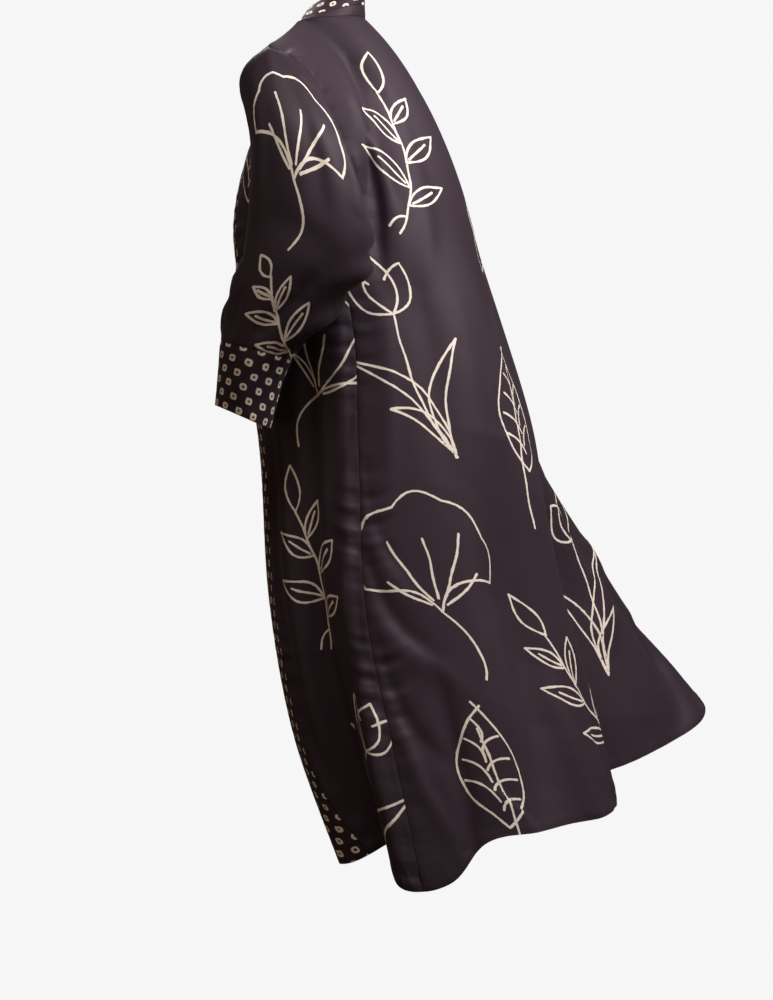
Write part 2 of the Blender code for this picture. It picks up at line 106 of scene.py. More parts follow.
# Large folds, each a ridge or a valley about an angle that moves from its top to its bottom. Those
# with a growth deepen downwards and are eased in at the top; the others fade at both ends.
Fold = namedtuple("Fold", "name top_angle low_angle top bottom depth width lean growth")
FOLD_EASE = 0.06
FOLD_RUN_ON = 1.2
FOLDS = [
    Fold("left_front_soft", -45, -28, -0.45, -1.40, 0.012, 9, 0.0, 1.5),
    Fold("left_front_valley", -20, -18, -0.72, -1.40, -0.080, 9, 0.0, 1.5),
    Fold("left_side_ridge", 5, -4, -0.75, -1.40, 0.018, 8, -0.9, 1.5),
    Fold("behind_side_valley", 24, 20, -0.60, -1.40, -0.012, 10, 0.0, 1.5),
    Fold("left_armhole_ridge", 40, 38, -0.08, -0.46, 0.012, 6, 0.0, 0),
    Fold("back_soft_left", 52, 45, -0.45, -1.40, 0.009, 9, 0.0, 1.5),
    Fold("back_soft_middle", 66, 60, -0.60, -1.40, -0.010, 8, 0.0, 1.5),
    Fold("corner_ridge", 86, 72, -0.55, -1.40, 0.010, 8, -0.3, 1.5),
    Fold("corner_valley", 114, 97, -0.64, -1.35, -0.115, 8, 0.0, 1.2),
    Fold("train_ridge", 140, 132, -0.66, -1.11, 0.205, 15, 0.0, 1.0),
    Fold("train_valley", 168, 163, -0.70, -1.40, -0.035, 9, 0.0, 1.5),
    Fold("right_side_ridge", 186, 182, -0.60, -1.40, 0.030, 9, 0.0, 1.5),
    Fold("right_front_valley", 204, 200, -0.60, -1.40, -0.045, 9, 0.0, 1.5),
    Fold("right_front_ridge", 226, 216, -0.50, -1.40, 0.016, 8, 0.0, 1.5),
    Fold("right_armhole_ridge", 150, 152, -0.08, -0.46, 0.012, 7, 0.0, 0),
]


def hermite(share, start, start_pull, end, end_pull):
    """A cubic from start to end, leaving along start_pull and arriving along end_pull."""
    return (
        (2 * share**3 - 3 * share**2 + 1) * start
        + (share**3 - 2 * share**2 + share) * start_pull
        + (3 * share**2 - 2 * share**3) * end
        + (share**3 - share**2) * end_pull
    )


def glide(keys, values, at):
    """A smooth curve through rising keys and their values, read at the array at."""
    keys = np.asarray(keys, float)
    values = np.asarray(values, float)
    slopes = np.gradient(values, keys)
    at = np.clip(at, keys[0], keys[-1])
    cell = np.clip(np.searchsorted(keys, at) - 1, 0, len(keys) - 2)
    after = cell + 1
    width = keys[after] - keys[cell]
    share = (at - keys[cell]) / width
    return hermite(share, values[cell], slopes[cell] * width, values[after], slopes[after] * width)


def smoothstep(low, high, at):
    share = np.clip((at - low) / (high - low), 0, 1)
    return share * share * (3 - 2 * share)


def unit(vectors):
    return vectors / np.maximum(np.linalg.norm(vectors, axis=-1), 1e-12)[..., None]


def section_value(column, height):
    return glide([row.height for row in SECTIONS], [getattr(row, column) for row in SECTIONS], height)


def nominal_height(level):
    return UNDERARM_HEIGHT + (np.maximum(level, 1) - 1) * (NOMINAL_HEM_HEIGHT - UNDERARM_HEIGHT)


def seam_angles(level):
    """Angles at a level of the left band seam, the two side seams and the right band seam."""
    height = nominal_height(level)

    def band_angle(angle):
        turn = np.radians(angle)
        across_x = section_value("half_x", height) * np.sin(turn)
        across_y = section_value("half_y", height) * np.cos(turn)
        return np.degrees(BAND_WIDTH / np.hypot(across_x, across_y))

    front_left = section_value("front_left", height)
    front_right = section_value("front_right", height)
    return (
        front_left + band_angle(front_left),
        section_value("side_left", height),
        section_value("side_right", height),
        front_right - band_angle(front_right),
    )


def angle_at(panel, share, level):
    seams = seam_angles(level)
    first = PANELS.index(panel)
    return seams[first] + share * (seams[first + 1] - seams[first])


def skirt_point(angle, level):
    """The body below the underarm, before its folds."""
    hem = glide([point.angle for point in HEM], [point.height for point in HEM], angle)
    height = UNDERARM_HEIGHT + (level - 1) * (hem - UNDERARM_HEIGHT)
    turn = np.radians(angle)
    x = section_value("centre_x", height) + section_value("half_x", height) * np.cos(turn)
    y = section_value("centre_y", height) + section_value("half_y", height) * np.sin(turn)
    return np.stack([x, y, height], -1)


def neck_point(turn):
    """The back neckline: turn is 0 at the centre back and a quarter turn at a neck side."""
    x = NECK_SIDE[0] * np.sin(turn)
    y = NECK_SIDE[1] + BACK_NECK_DEPTH * np.cos(turn)
    z = NECK_SIDE[2] + BACK_NECK_RISE * np.cos(turn)
    return np.stack([x, y, z], -1)


def top_point(panel, outer, share):
    """The top edge: along the shoulder, and on the back also round the neckline."""
    side = np.where(share < 0.5, 1.0, -1.0) if panel == "back" else np.full_like(share, 1.0)
    side = -side if panel == "front_right" else side
    along = (outer - NECK_SHARE) / (1 - NECK_SHARE) if panel == "back" else outer
    point = NECK_SIDE + along[..., None] * (SHOULDER_POINT - NECK_SIDE)
    point[..., 0] *= side
    if panel == "back":
        turn = np.clip((1 - 2 * share) / NECK_SHARE, -1, 1) * np.pi / 2
        point = np.where((along < 0)[..., None], neck_point(turn), point)
    return point


def plain_point(panel, share, level):
    """The coat's body without folds: a yoke that rolls over the shoulder, and the skirt below."""
    outer = {"front_left": share, "back": np.abs(2 * share - 1), "front_right": 1 - share}[panel]
    underarm = np.ones_like(level)
    just_below = underarm * 1.01
    low = skirt_point(angle_at(panel, share, underarm), underarm)
    fall = unit(skirt_point(angle_at(panel, share, just_below), just_below) - low) * YOKE_FALL
    row = YOKE_ROLLS[panel.split("_")[0]]
    back = row.back + (row.outer_back - row.back) * outer
    rise = row.rise + (row.outer_rise - row.rise) * outer
    down = np.minimum(level, 1)
    roll = np.stack([0 * outer, back, rise], -1)
    yoke = hermite(down[..., None], top_point(panel, outer, share), roll, low, fall)
    yoke[..., 1] += row.armhole_bulge * outer**2 * BULGE_PEAK * down * (1 - down) ** 2
    skirt = skirt_point(angle_at(panel, share, level), np.maximum(level, 1))
    return np.where((level >= 1)[..., None], skirt, yoke)


def body_point(panel, share, level):
    """The coat's body with its main folds, for arrays of shares and levels."""
    share, level = (np.asarray(a, float) for a in np.broadcast_arrays(share, level))
    point = plain_point(panel, share, level)
    angle = angle_at(panel, share, level)
    out = np.zeros_like(level)
    along = np.zeros_like(level)
    for fold in FOLDS:
        run = (fold.top - point[..., 2]) / (fold.top - fold.bottom)
        middle = fold.top_angle + np.clip(run, 0, 1) * (fold.low_angle - fold.top_angle)
        if fold.growth:
            eased = (run + np.sqrt(run**2 + FOLD_EASE**2)) / 2
            grown = np.clip(eased, 0, FOLD_RUN_ON) ** fold.growth
        else:
            grown = smoothstep(0, 0.35, run) * smoothstep(1, 0.6, run)
        lift = fold.depth * grown * np.exp(-(np.abs((angle - middle) / fold.width) ** 2))
        out += lift
        along += lift * fold.lean
    turn = np.radians(angle)
    outward = np.stack([np.cos(turn), np.sin(turn), 0 * turn], -1)
    onward = np.stack([-np.sin(turn), np.cos(turn), 0 * turn], -1)
    return point + out[..., None] * outward + along[..., None] * onward


def even_shares(panel, count, level):
    """Shares across a panel that give columns of equal width at a level."""
    share = np.linspace(0, 1, FINE_STEPS)
    points = body_point(panel, share, np.full_like(share, level))
    run = np.concatenate([[0], np.cumsum(np.linalg.norm(np.diff(points, axis=0), axis=1))])
    return np.interp(np.linspace(0, run[-1], count + 1), run, share)


def body_levels():
    yoke_rows = round(BODY_ROWS * YOKE_SHARE_OF_ROWS)
    skirt = np.linspace(1, 2, BODY_ROWS - yoke_rows + 1)
    return np.concatenate([np.linspace(0, 1, yoke_rows + 1), skirt[1:]])[:, None]


def outward_normals(points, sign=1, ring=False):
    """Unit normals of a grid of points. A ring's columns meet."""
    if ring:
        across = unit(np.roll(points, -1, 1) - points)
        across = across + np.roll(across, 1, 1)
    else:
        across = np.gradient(points, axis=1)
    return sign * unit(np.cross(np.gradient(points, axis=0), across))


def edge_gaps(flat):
    """Distances on the flat cloth to the nearer side edge and to the hem."""
    across, down = flat
    return np.minimum(across - across[:, :1], across[:, -1:] - across), down[-1:] - down


def flat_map(points, centre_column):
    """Metres across from a column and down from the top edge, as the cloth would lie flat."""
    across = np.cumsum(np.linalg.norm(np.diff(points, axis=1), axis=2), axis=1)
    across = np.concatenate([np.zeros((len(points), 1)), across], 1)
    across -= across[:, centre_column][:, None]
    down = np.linalg.norm(np.diff(points, axis=0), axis=2).mean(1)
    down = np.concatenate([[0], np.cumsum(down)])[:, None] + 0 * across
    return across, down


def stroke_distance(across, down, line):
    """Signed and plain distance of points on the flat cloth to a line, and their share along it."""
    flat = np.stack([across.ravel(), down.ravel()], -1)
    signed = np.full(len(flat), FAR_OFF)
    near = np.full(len(flat), FAR_OFF)
    along = np.zeros(len(flat))
    for index, (start, end) in enumerate(zip(line, line[1:])):
        step = end - start
        length = max(np.hypot(*step), 1e-9)
        offset = flat - start
        run = np.clip(offset @ step / length**2, 0, 1)
        away = offset - run[:, None] * step
        distance = np.hypot(away[:, 0], away[:, 1])
        side = np.sign(step[0] * offset[:, 1] - step[1] * offset[:, 0])
        closer = distance < near
        near[closer] = distance[closer]
        signed[closer] = (side * distance)[closer]
        along[closer] = (index + run[closer]) / (len(line) - 1)
    shape = across.shape
    return signed.reshape(shape), near.reshape(shape), along.reshape(shape)


# A crease runs between two places, each a share across and a share down the piece. Its depth is
# negative for a trough, its bend bows it sideways, and it fades out towards both ends. One flank
# is wider than the other, and it fades out towards sewn edges too.
Crease = namedtuple("Crease", "x0 y0 x1 y1 bend width depth")
CREASE_STEPS = 9
CREASE_FLANKS = (1.25, 0.85)
SEWN_HOLD = 0.02


def press_creases(points, sign, creases, ring=False):
    """Moves a grid of points out or in along its normals, crease by crease. Sewn edges hold it."""
    rows, columns = points.shape[:2]
    across, down = flat_map(points, columns // 2)
    normals = outward_normals(points, sign, ring)
    lift = np.zeros((rows, columns))
    for crease in creases:
        share = np.linspace(0, 1, CREASE_STEPS)
        sideways = crease.bend * np.sin(np.pi * share)
        x = crease.x0 + share * (crease.x1 - crease.x0) + sideways
        y = crease.y0 + share * (crease.y1 - crease.y0)
        row = np.clip(y * (rows - 1), 0, rows - 1).round().astype(int)
        column = np.clip(x * (columns - 1), 0, columns - 1).round().astype(int)
        line = np.stack([across[row, column], down[row, column]], -1)
        signed, near, along = stroke_distance(across, down, line)
        taper = np.sin(np.pi * np.clip(along, 0.02, 0.98)) ** 0.7
        side = np.where(signed > 0, *CREASE_FLANKS)
        lift += crease.depth * taper * np.exp(-((near / (crease.width * side)) ** 2))
    side_gap, end_gap = edge_gaps((across, down))
    hold = smoothstep(0, SEWN_HOLD, down - down[:1])
    hold = hold * smoothstep(0, SEWN_HOLD, end_gap if ring else side_gap)
    return points + (hold * lift)[..., None] * normals


def soften_yoke(points, rounds=36):
    """Eases the kinks between neckline and shoulder, row by row, and leaves the edges in place."""
    give = 0.5 * smoothstep(0, 0.08, body_levels()) * smoothstep(1.2, 0.8, body_levels())
    for _ in range(rounds):
        middle = (points[:, :-2] + points[:, 2:]) / 2
        points[:, 1:-1] += give[..., None] * (middle - points[:, 1:-1])
    return points


def pucker(distance, run, wave, height, reach=0.010):
    """The small waves that sewing draws up beside a seam, by distance from it and run along it.

    The seam itself stays where it is, in a slight hollow. The waves are highest at the reach, and
    slower sines make them uneven in length and strength."""
    waves = np.sin(run / wave * 6.283 + 2.6 * np.sin(run * 13) + 1.6 * np.sin(run * 31 + 2))
    waves = waves + 0.5 * np.sin(run / wave * 14.1 + 3 * np.sin(run * 9 + 1))
    strength = 0.6 + 0.4 * np.sin(run * 19 + 1.5 * np.sin(run * 7))
    away = np.maximum(distance, 0) / (reach * (0.8 + 0.5 * strength))
    return height * (waves * strength + 0.6) * away * np.exp(1 - away)


def lay_cloth(name, points, sign, wall, flat, marks, materials, prints=(), ring=False):
    """A closed wall of cloth about a grid of points, with its brush lines and its marks at points."""
    rows, columns = points.shape[:2]
    skin = rows * columns
    half = (np.broadcast_to(wall, (rows, columns)) / 2)[..., None]
    half = outward_normals(points, sign, ring) * half
    places = np.concatenate([(points + half).reshape(-1, 3), (points - half).reshape(-1, 3)])
    ids = np.arange(skin).reshape(rows, columns)
    across, down = flat
    if ring:
        closing = np.abs(across[:, 1:2] - across[:, :1])
        ids = np.concatenate([ids, ids[:, :1]], 1)
        across = np.concatenate([across, across[:, -1:] + closing], 1)
        down = np.concatenate([down, down[:, :1]], 1)
    spots = np.arange(ids.size).reshape(ids.shape)
    quads = np.stack([spots[:-1, :-1], spots[1:, :-1], spots[1:, 1:], spots[:-1, 1:]], -1)
    quads = quads.reshape(-1, 4)
    edges = [spots[0], spots[-1, ::-1]]
    if not ring:
        edges += [spots[::-1, 0], spots[:, -1]]
    rims = np.concatenate([np.stack([e[:-1], e[1:], e[1:], e[:-1]], -1) for e in edges])
    faces = np.concatenate([quads, quads[:, ::-1], rims])
    layer = np.concatenate([0 * quads, 0 * quads + 1, 0 * rims + np.array([0, 0, 1, 1])])
    if sign < 0:
        faces, layer = faces[:, ::-1], layer[:, ::-1]
    mesh = bpy.data.meshes.new(name)
    mesh.from_pydata(places, [], (ids.ravel()[faces] + skin * layer).tolist())
    corners = np.stack([across.ravel()[faces], down.ravel()[faces]], -1)
    maps = {"cloth": corners}
    if prints:
        maps["brush_first"], maps["brush_second"] = brush_maps(corners, prints)
    for layer_name, values in maps.items():
        mesh.uv_layers.new(name=layer_name).data.foreach_set("uv", values.ravel())
    for mark, values in marks.items():
        kept = mesh.attributes.new(mark, "FLOAT", "POINT")
        kept.data.foreach_set("value", np.tile(np.broadcast_to(values, (rows, columns)).ravel(), 2))
    for material in materials:
        mesh.materials.append(material)
    reverse = np.zeros(len(faces), int)
    reverse[len(quads) : 2 * len(quads)] = len(materials) - 1
    mesh.polygons.foreach_set("material_index", reverse)
    mesh.shade_smooth()
    mesh.set_sharp_from_angle(angle=EDGE_ANGLE)
    piece = bpy.data.objects.new(name, mesh)
    bpy.context.scene.collection.objects.link(piece)
    return piece


def hem_wall(distance):
    """Thickness of the cloth, doubled where it is turned up."""
    turned = smoothstep(HEM_WIDTH + 0.003, HEM_WIDTH - 0.001, distance)
    return SATIN_WALL + (HEM_WALL - SATIN_WALL) * turned


# The drawings: a leafy sprig, a broad ribbed leaf, a fan-shaped leaf and a lily with long leaves,
# each a handful of brush lines in metres about its own middle, x across the cloth and y down it.


def bow(start, end, swell, steps=12):
    """A brush line from start to end that swells sideways by a share of its length."""
    share = np.linspace(0, 1, steps)[:, None]
    start, end = np.array(start, float), np.array(end, float)
    step = end - start
    side = np.array([-step[1], step[0]])
    return start + share * step + np.sin(np.pi * share**0.9) * swell * side


def sprig():
    """Five pointed leaves on a bowed stem, with a bud at its top."""
    stem = bow((-0.016, 0.165), (0.006, -0.080), 0.09, 24)
    lines = [stem]
    leaves = [
        (0.20, 1, 0.086, 34, 0.15), (0.34, -1, 0.094, 40, 0.17), (0.50, 1, 0.088, 44, 0.16),
        (0.66, -1, 0.080, 50, 0.17), (0.80, 1, 0.066, 56, 0.17),
    ]
    for share, side, length, rise, swell in leaves:
        base = stem[round(share * (len(stem) - 1))]
        turn = np.radians(rise)
        leaf = length * np.array([side * np.cos(turn), -np.sin(turn)])
        lines += [bow(base, base + leaf, swell), bow(base, base + leaf, -swell)]
        lines.append(bow(base + 0.1 * leaf, base + 0.7 * leaf, 0.02))
    top = stem[-1]
    lines += [bow(top, top + [0.008, -0.076], 0.19), bow(top, top + [0.008, -0.076], -0.19)]
    lines.append(bow(stem[3], stem[3] + [-0.030, 0.022], 0.15))
    return lines


def broad_leaf():
    """One pointed leaf with a middle vein and four pairs of ribs."""
    foot, tip, heel = np.array([0.020, 0.165]), np.array([-0.006, -0.140]), np.array([0.008, 0.070])
    lines = [bow(foot, tip + [0.004, 0.045], 0.04, 20)]
    lines += [bow(heel, tip, 0.27, 24), bow(heel, tip + [0.012, 0.004], -0.25, 24)]
    ribs = ((0.14, 0.040, 0.042), (0.30, 0.044, 0.038), (0.46, 0.037, 0.027), (0.62, 0.026, 0.009))
    for share, right, left in ribs:
        at = heel + share * (tip - heel)
        lines.append(bow(at, at + [right, -0.030], -0.14))
        lines.append(bow(at + [0, -0.014], at + [-left, -0.050], 0.16))
    return lines


def fan_leaf():
    """A round-edged fan on a long stem, with a rib to each scallop."""
    base = np.array([0.0, 0.062])
    lines = [bow((0.030, 0.165), base, 0.16, 14)]
    turns = np.radians([-62, -36, -12, 13, 38, 60])
    reaches = np.array([0.115, 0.158, 0.176, 0.180, 0.160, 0.120])
    rim = base + np.stack([np.sin(turns) * reaches, -np.cos(turns) * reaches], -1)
    lines += [bow(base, rim[0], 0.16), bow(base, rim[-1], -0.18)]
    lines += [bow(start, end, -0.20, 9) for start, end in zip(rim, rim[1:])]
    for start, end, length in zip(rim, rim[1:], (0.70, 0.82, 0.66, 0.84, 0.72)):
        middle = (start + end) / 2
        rib = middle - base
        lines.append(bow(base + 0.12 * rib, base + length * rib, 0.03 * np.sign(middle[0])))
    return lines


def lily():
    """A cup of three petals on a tall stem, with three long leaves from its foot."""
    foot, neck = np.array([-0.006, 0.168]), np.array([0.014, -0.050])
    lines = [bow(foot, neck, -0.07, 22)]
    blades = (
        ((-0.090, -0.020), 0.10, 0.22), ((0.092, 0.010), -0.08, -0.22), ((-0.062, 0.070), 0.06, 0.26),
    )
    for tip, inner, outer in blades:
        lines += [bow(foot, tip, inner, 16), bow(foot, tip, outer, 16)]
    crown = neck + [0.008, -0.088]
    lines += [bow(neck, crown, 0.27), bow(neck, crown, -0.27)]
    for tip, swell in ((neck + [-0.040, -0.074], -0.30), (neck + [0.050, -0.066], 0.30)):
        fold = neck + [0.3 * (tip[0] - neck[0]), -0.050]
        lines += [bow(neck, tip, swell), bow(tip, fold, swell * 0.3)]
    return lines


Print = namedtuple("Print", "drawing x y turn size flip")
BRUSH = 0.0018
PRINT_REACH = 0.24
HAND_WAVER = 0.0011
WAVER_RATE = 95


def place_lines(row):
    """The brush lines of a print where they lie on the flat cloth, slightly wavering."""
    turn = np.radians(row.turn)
    cos, sin = np.cos(turn), np.sin(turn)
    for index, line in enumerate(row.drawing()):
        line = line * row.size
        x = -line[:, 0] if row.flip else line[:, 0]
        x = x + HAND_WAVER * np.sin(line[:, 1] * WAVER_RATE + index)
        yield np.stack([row.x + cos * x - sin * line[:, 1], row.y + sin * x + cos * line[:, 1]], -1)


def brush_maps(corners, prints):
    """Two maps: offset from and run past the nearest brush line, and the same for the next nearest.

    Each face reads one straight piece of a line, so that both numbers are exact all over it."""
    middles = corners.mean(1)
    gaps = np.full((2, len(corners)), 1.0)
    maps = np.tile([1.0, -1.0], (2, len(corners), 4, 1))
    for row in prints:
        close = np.flatnonzero(np.hypot(*(middles - [row.x, row.y]).T) < PRINT_REACH * row.size)
        for line in place_lines(row):
            start, step = line[:-1], np.diff(line, axis=0)
            length = np.hypot(*step.T)
            step = step / length[:, None]
            away = middles[close, None] - start
            run = np.clip((away * step).sum(-1), 0, length)
            gap = np.linalg.norm(away - run[..., None] * step, axis=-1)
            piece = gap.argmin(1)
            gap = gap.min(1)
            from_start = corners[close] - start[piece][:, None]
            along = step[piece][:, None]
            offset = from_start[..., 0] * along[..., 1] - from_start[..., 1] * along[..., 0]
            past = (from_start * along).sum(-1)
            past = np.where((piece == len(length) - 1)[:, None], past - length[piece][:, None], -past)
            past = np.where(((piece > 0) & (piece < len(length) - 1))[:, None], -1.0, past)
            here = np.stack([offset, past], -1)
            first = gap < gaps[0, close]
            second = ~first & (gap < gaps[1, close])
            maps[1, close[first]] = maps[0, close[first]]
            gaps[1, close[first]] = gaps[0, close[first]]
            maps[0, close[first]], gaps[0, close[first]] = here[first], gap[first]
            maps[1, close[second]], gaps[1, close[second]] = here[second], gap[second]
    return maps


# Satin: a face of long shining floats over a duller reverse, in a dark aubergine. The ink, the
# stitches and the sewn edges, with their painted shade, follow the maps and marks that lay_cloth
# keeps on each piece.
AUBERGINE = (0.0435, 0.0305, 0.0400, 1.0)
AUBERGINE_DEEP = (0.0350, 0.0240, 0.0315, 1.0)
REVERSE = (0.026, 0.016, 0.021, 1.0)
CREAM = (0.95, 0.88, 0.74, 1.0)
# Painted shade: the near-black colour the cloth darkens to beside its seams.
SEAM_SHADE = (0.008, 0.006, 0.007, 1.0)
SEAM_STRENGTH = 0.6
SEAM_DIP = 5.0
THREAD_RISE = 1.6
RELIEF_STRENGTH = 0.25
RELIEF_DEPTH = 0.0002
SHOW_THROUGH = 0.30
HEM_STITCH_INSET = 0.0012
FOLD_STITCH_INSET = 0.0022


def new_group(name, inputs, outputs):
    """A shader node group with sockets given as (name, type, value)."""
    group = bpy.data.node_groups.new(name, "ShaderNodeTree")
    for socket_name, kind, value in inputs:
        kind = "NodeSocket" + kind
        socket = group.interface.new_socket(socket_name, in_out="INPUT", socket_type=kind)
        if value is not None:
            socket.default_value = value
    for socket_name, kind in outputs:
        kind = "NodeSocket" + kind
        group.interface.new_socket(socket_name, in_out="OUTPUT", socket_type=kind)
    start = group.nodes.new("NodeGroupInput")
    end = group.nodes.new("NodeGroupOutput")
    return group, start.outputs, end.inputs


def plug(tree, socket, value):
    if isinstance(value, bpy.types.NodeSocket):
        tree.links.new(value, socket)
    elif value is not None:
        socket.default_value = value


def math(tree, operation, *values):
    node = tree.nodes.new("ShaderNodeMath")
    node.operation = operation
    for socket, value in zip(node.inputs, values):
        plug(tree, socket, value)
    return node.outputs[0]


def ramp(tree, value, low, high, to_low=0.0, to_high=1.0):
    """A smooth step of a value from low to high."""
    node = tree.nodes.new("ShaderNodeMapRange")
    node.interpolation_type = "SMOOTHSTEP"
    names = ("Value", "From Min", "From Max", "To Min", "To Max")
    for name, number in zip(names, (value, low, high, to_low, to_high)):
        plug(tree, node.inputs[name], number)
    return node.outputs[0]


def mix(tree, share, first, second):
    node = tree.nodes.new("ShaderNodeMix")
    node.data_type = "RGBA"
    plug(tree, node.inputs["Factor"], share)
    plug(tree, node.inputs["A"], first)
    plug(tree, node.inputs["B"], second)
    return node.outputs["Result"]


def noise(tree, vector, scale, detail):
    node = tree.nodes.new("ShaderNodeTexNoise")
    plug(tree, node.inputs["Vector"], vector)
    node.inputs["Scale"].default_value = scale
    node.inputs["Detail"].default_value = detail
    return node.outputs["Fac"]


def stretched(tree, vector, x, y):
    """The flat position, scaled apart across the cloth and down it."""
    node = tree.nodes.new("ShaderNodeMapping")
    plug(tree, node.inputs["Vector"], vector)
    node.inputs["Scale"].default_value = (x, y, 1)
    return node.outputs["Vector"]


def satin_floats():
    """The weave: fine warp floats, slubs along them and a soft change of tone over the cloth."""
    group, given, out = new_group(
        "satin_floats", [("Flat", "Vector", None)], [("Tone", "Float"), ("Height", "Float")]
    )
    floats = noise(group, stretched(group, given["Flat"], 1900, 160), 1, 1)
    slubs = noise(group, stretched(group, given["Flat"], 420, 9), 1, 2)
    broad = noise(group, given["Flat"], 7, 3)
    height = math(group, "MULTIPLY_ADD", slubs, 0.35, floats)
    tone = math(group, "MULTIPLY_ADD", slubs, 0.35, math(group, "MULTIPLY", broad, 0.65))
    plug(group, out["Tone"], tone)
    plug(group, out["Height"], height)
    return group


def brush_ink():
    """The printed lines: 1 on the ink, with a slightly uneven edge."""
    group, given, out = new_group(
        "brush_ink",
        [
            ("First", "Vector", None), ("Second", "Vector", None),
            ("Flat", "Vector", None), ("Half Width", "Float", BRUSH),
        ],
        [("Ink", "Float")],
    )
    reaches = []
    for name in ("First", "Second"):
        apart = group.nodes.new("ShaderNodeSeparateXYZ")
        plug(group, apart.inputs[0], given[name])
        past = math(group, "MAXIMUM", apart.outputs[1], 0.0)
        aside = math(group, "POWER", math(group, "ABSOLUTE", apart.outputs[0]), 2.0)
        reaches.append(math(group, "SQRT", math(group, "MULTIPLY_ADD", past, past, aside)))
    uneven = math(group, "SUBTRACT", noise(group, given["Flat"], 75, 2), 0.5)
    uneven = math(group, "MULTIPLY", uneven, 0.0022)
    reach = math(group, "ADD", math(group, "MINIMUM", *reaches), uneven)
    over = math(group, "SUBTRACT", reach, given["Half Width"])
    plug(group, out["Ink"], ramp(group, over, -0.00025, 0.00025, 1.0, 0.0))
    return group


def stitch_row():
    """A row of lock stitches at a distance from an edge: 1 on the thread."""
    group, given, out = new_group(
        "stitch_row",
        [
            ("Gap", "Float", NO_HEM_NEAR), ("Run", "Float", 0.0),
            ("Row", "Float", 0.01), ("Pitch", "Float", 0.0026),
        ],
        [("Thread", "Float")],
    )
    off_row = math(group, "ABSOLUTE", math(group, "SUBTRACT", given["Gap"], given["Row"]))
    across = ramp(group, off_row, 0.00022, 0.00042, 1.0, 0.0)
    step = math(group, "FRACT", math(group, "DIVIDE", given["Run"], given["Pitch"]))
    from_middle = math(group, "ABSOLUTE", math(group, "SUBTRACT", step, 0.5))
    dash = ramp(group, from_middle, 0.32, 0.42, 1.0, 0.0)
    plug(group, out["Thread"], math(group, "MULTIPLY", across, dash))
    return group


SATIN_FLOATS = satin_floats()
BRUSH_INK = brush_ink()
STITCH_ROW = stitch_row()


def placed(tree, group, **given):
    """A group placed in a material, with its inputs given by name."""
    node = tree.nodes.new("ShaderNodeGroup")
    node.node_tree = group
    for name, value in given.items():
        plug(tree, node.inputs[name.replace("_", " ")], value)
    return node.outputs


def map_of(tree, name):
    node = tree.nodes.new("ShaderNodeUVMap")
    node.uv_map = name
    return node.outputs["UV"]


def mark(tree, name):
    """A number kept at the points of the cloth, such as the distance to its hem."""
    node = tree.nodes.new("ShaderNodeAttribute")
    node.attribute_name = name
    return node.outputs["Fac"]


def cloth_material(name):
    """A new material, its shader and the flat position on the cloth."""
    material = bpy.data.materials.new(name)
    material.use_nodes = True
    tree = material.node_tree
    shader = tree.nodes["Principled BSDF"]
    return material, tree, shader, map_of(tree, "cloth")


def satin_finish(tree, shader, colour, roughness, height):
    """Joins colour, roughness and relief to a satin's shader; the sewn edges dip and get painted
    shade.
    """
    # Painted shade: the base colour darkens towards SEAM_SHADE within about two millimetres of every
    # seam.
    seam = ramp(tree, mark(tree, "seam_gap"), 0.0003, 0.0018, 1.0, 0.0)
    height = math(tree, "MULTIPLY_ADD", seam, -SEAM_DIP, height)
    colour = mix(tree, math(tree, "MULTIPLY", seam, SEAM_STRENGTH), colour, SEAM_SHADE)
    plug(tree, shader.inputs["Base Color"], colour)
    plug(tree, shader.inputs["Roughness"], roughness)
    shader.inputs["Specular IOR Level"].default_value = 0.25
    shader.inputs["Specular Tint"].default_value = (1.0, 0.86, 0.93, 1.0)
    shader.inputs["Sheen Weight"].default_value = 0.06
    shader.inputs["Sheen Roughness"].default_value = 0.45
    shader.inputs["Sheen Tint"].default_value = (0.78, 0.62, 0.76, 1.0)
    shader.inputs["Anisotropic"].default_value = 0.35
    raised = tree.nodes.new("ShaderNodeBump")
    raised.inputs["Strength"].default_value = RELIEF_STRENGTH
    raised.inputs["Distance"].default_value = RELIEF_DEPTH
    plug(tree, raised.inputs["Height"], height)
    plug(tree, shader.inputs["Normal"], raised.outputs["Normal"])


def print_satin(name, reverse=False, printed=True):
    """The satin's face, or its reverse, where the print shows through faintly."""
    material, tree, shader, flat = cloth_material(name)
    weave = placed(tree, SATIN_FLOATS, Flat=flat)
    apart = tree.nodes.new("ShaderNodeSeparateXYZ")
    plug(tree, apart.inputs[0], flat)
    row = HEM_WIDTH - HEM_STITCH_INSET
    hem = {"Gap": mark(tree, "hem_gap"), "Run": apart.outputs[0], "Row": row}
    thread = placed(tree, STITCH_ROW, **hem)["Thread"]
    if reverse:
        ground = mix(tree, weave["Tone"], REVERSE, AUBERGINE_DEEP)
        rough = 0.62
    else:
        ground = mix(tree, weave["Tone"], AUBERGINE_DEEP, AUBERGINE)
        rough = ramp(tree, weave["Tone"], 0.2, 0.8, 0.52, 0.60)
    colour = mix(tree, thread, ground, AUBERGINE)
    if printed:
        lines = {"First": map_of(tree, "brush_first"), "Second": map_of(tree, "brush_second")}
        ink = placed(tree, BRUSH_INK, Flat=flat, **lines)["Ink"]
        if reverse:
            ink = math(tree, "MULTIPLY", ink, SHOW_THROUGH)
        colour = mix(tree, ink, colour, CREAM)
    height = math(tree, "MULTIPLY_ADD", thread, THREAD_RISE, weave["Height"])
    satin_finish(tree, shader, colour, rough, height)
    return material


PRINT_SATIN = print_satin("print_satin")
PRINT_REVERSE = print_satin("print_satin_reverse", reverse=True)
PLAIN_SATIN = print_satin("plain_satin", printed=False)

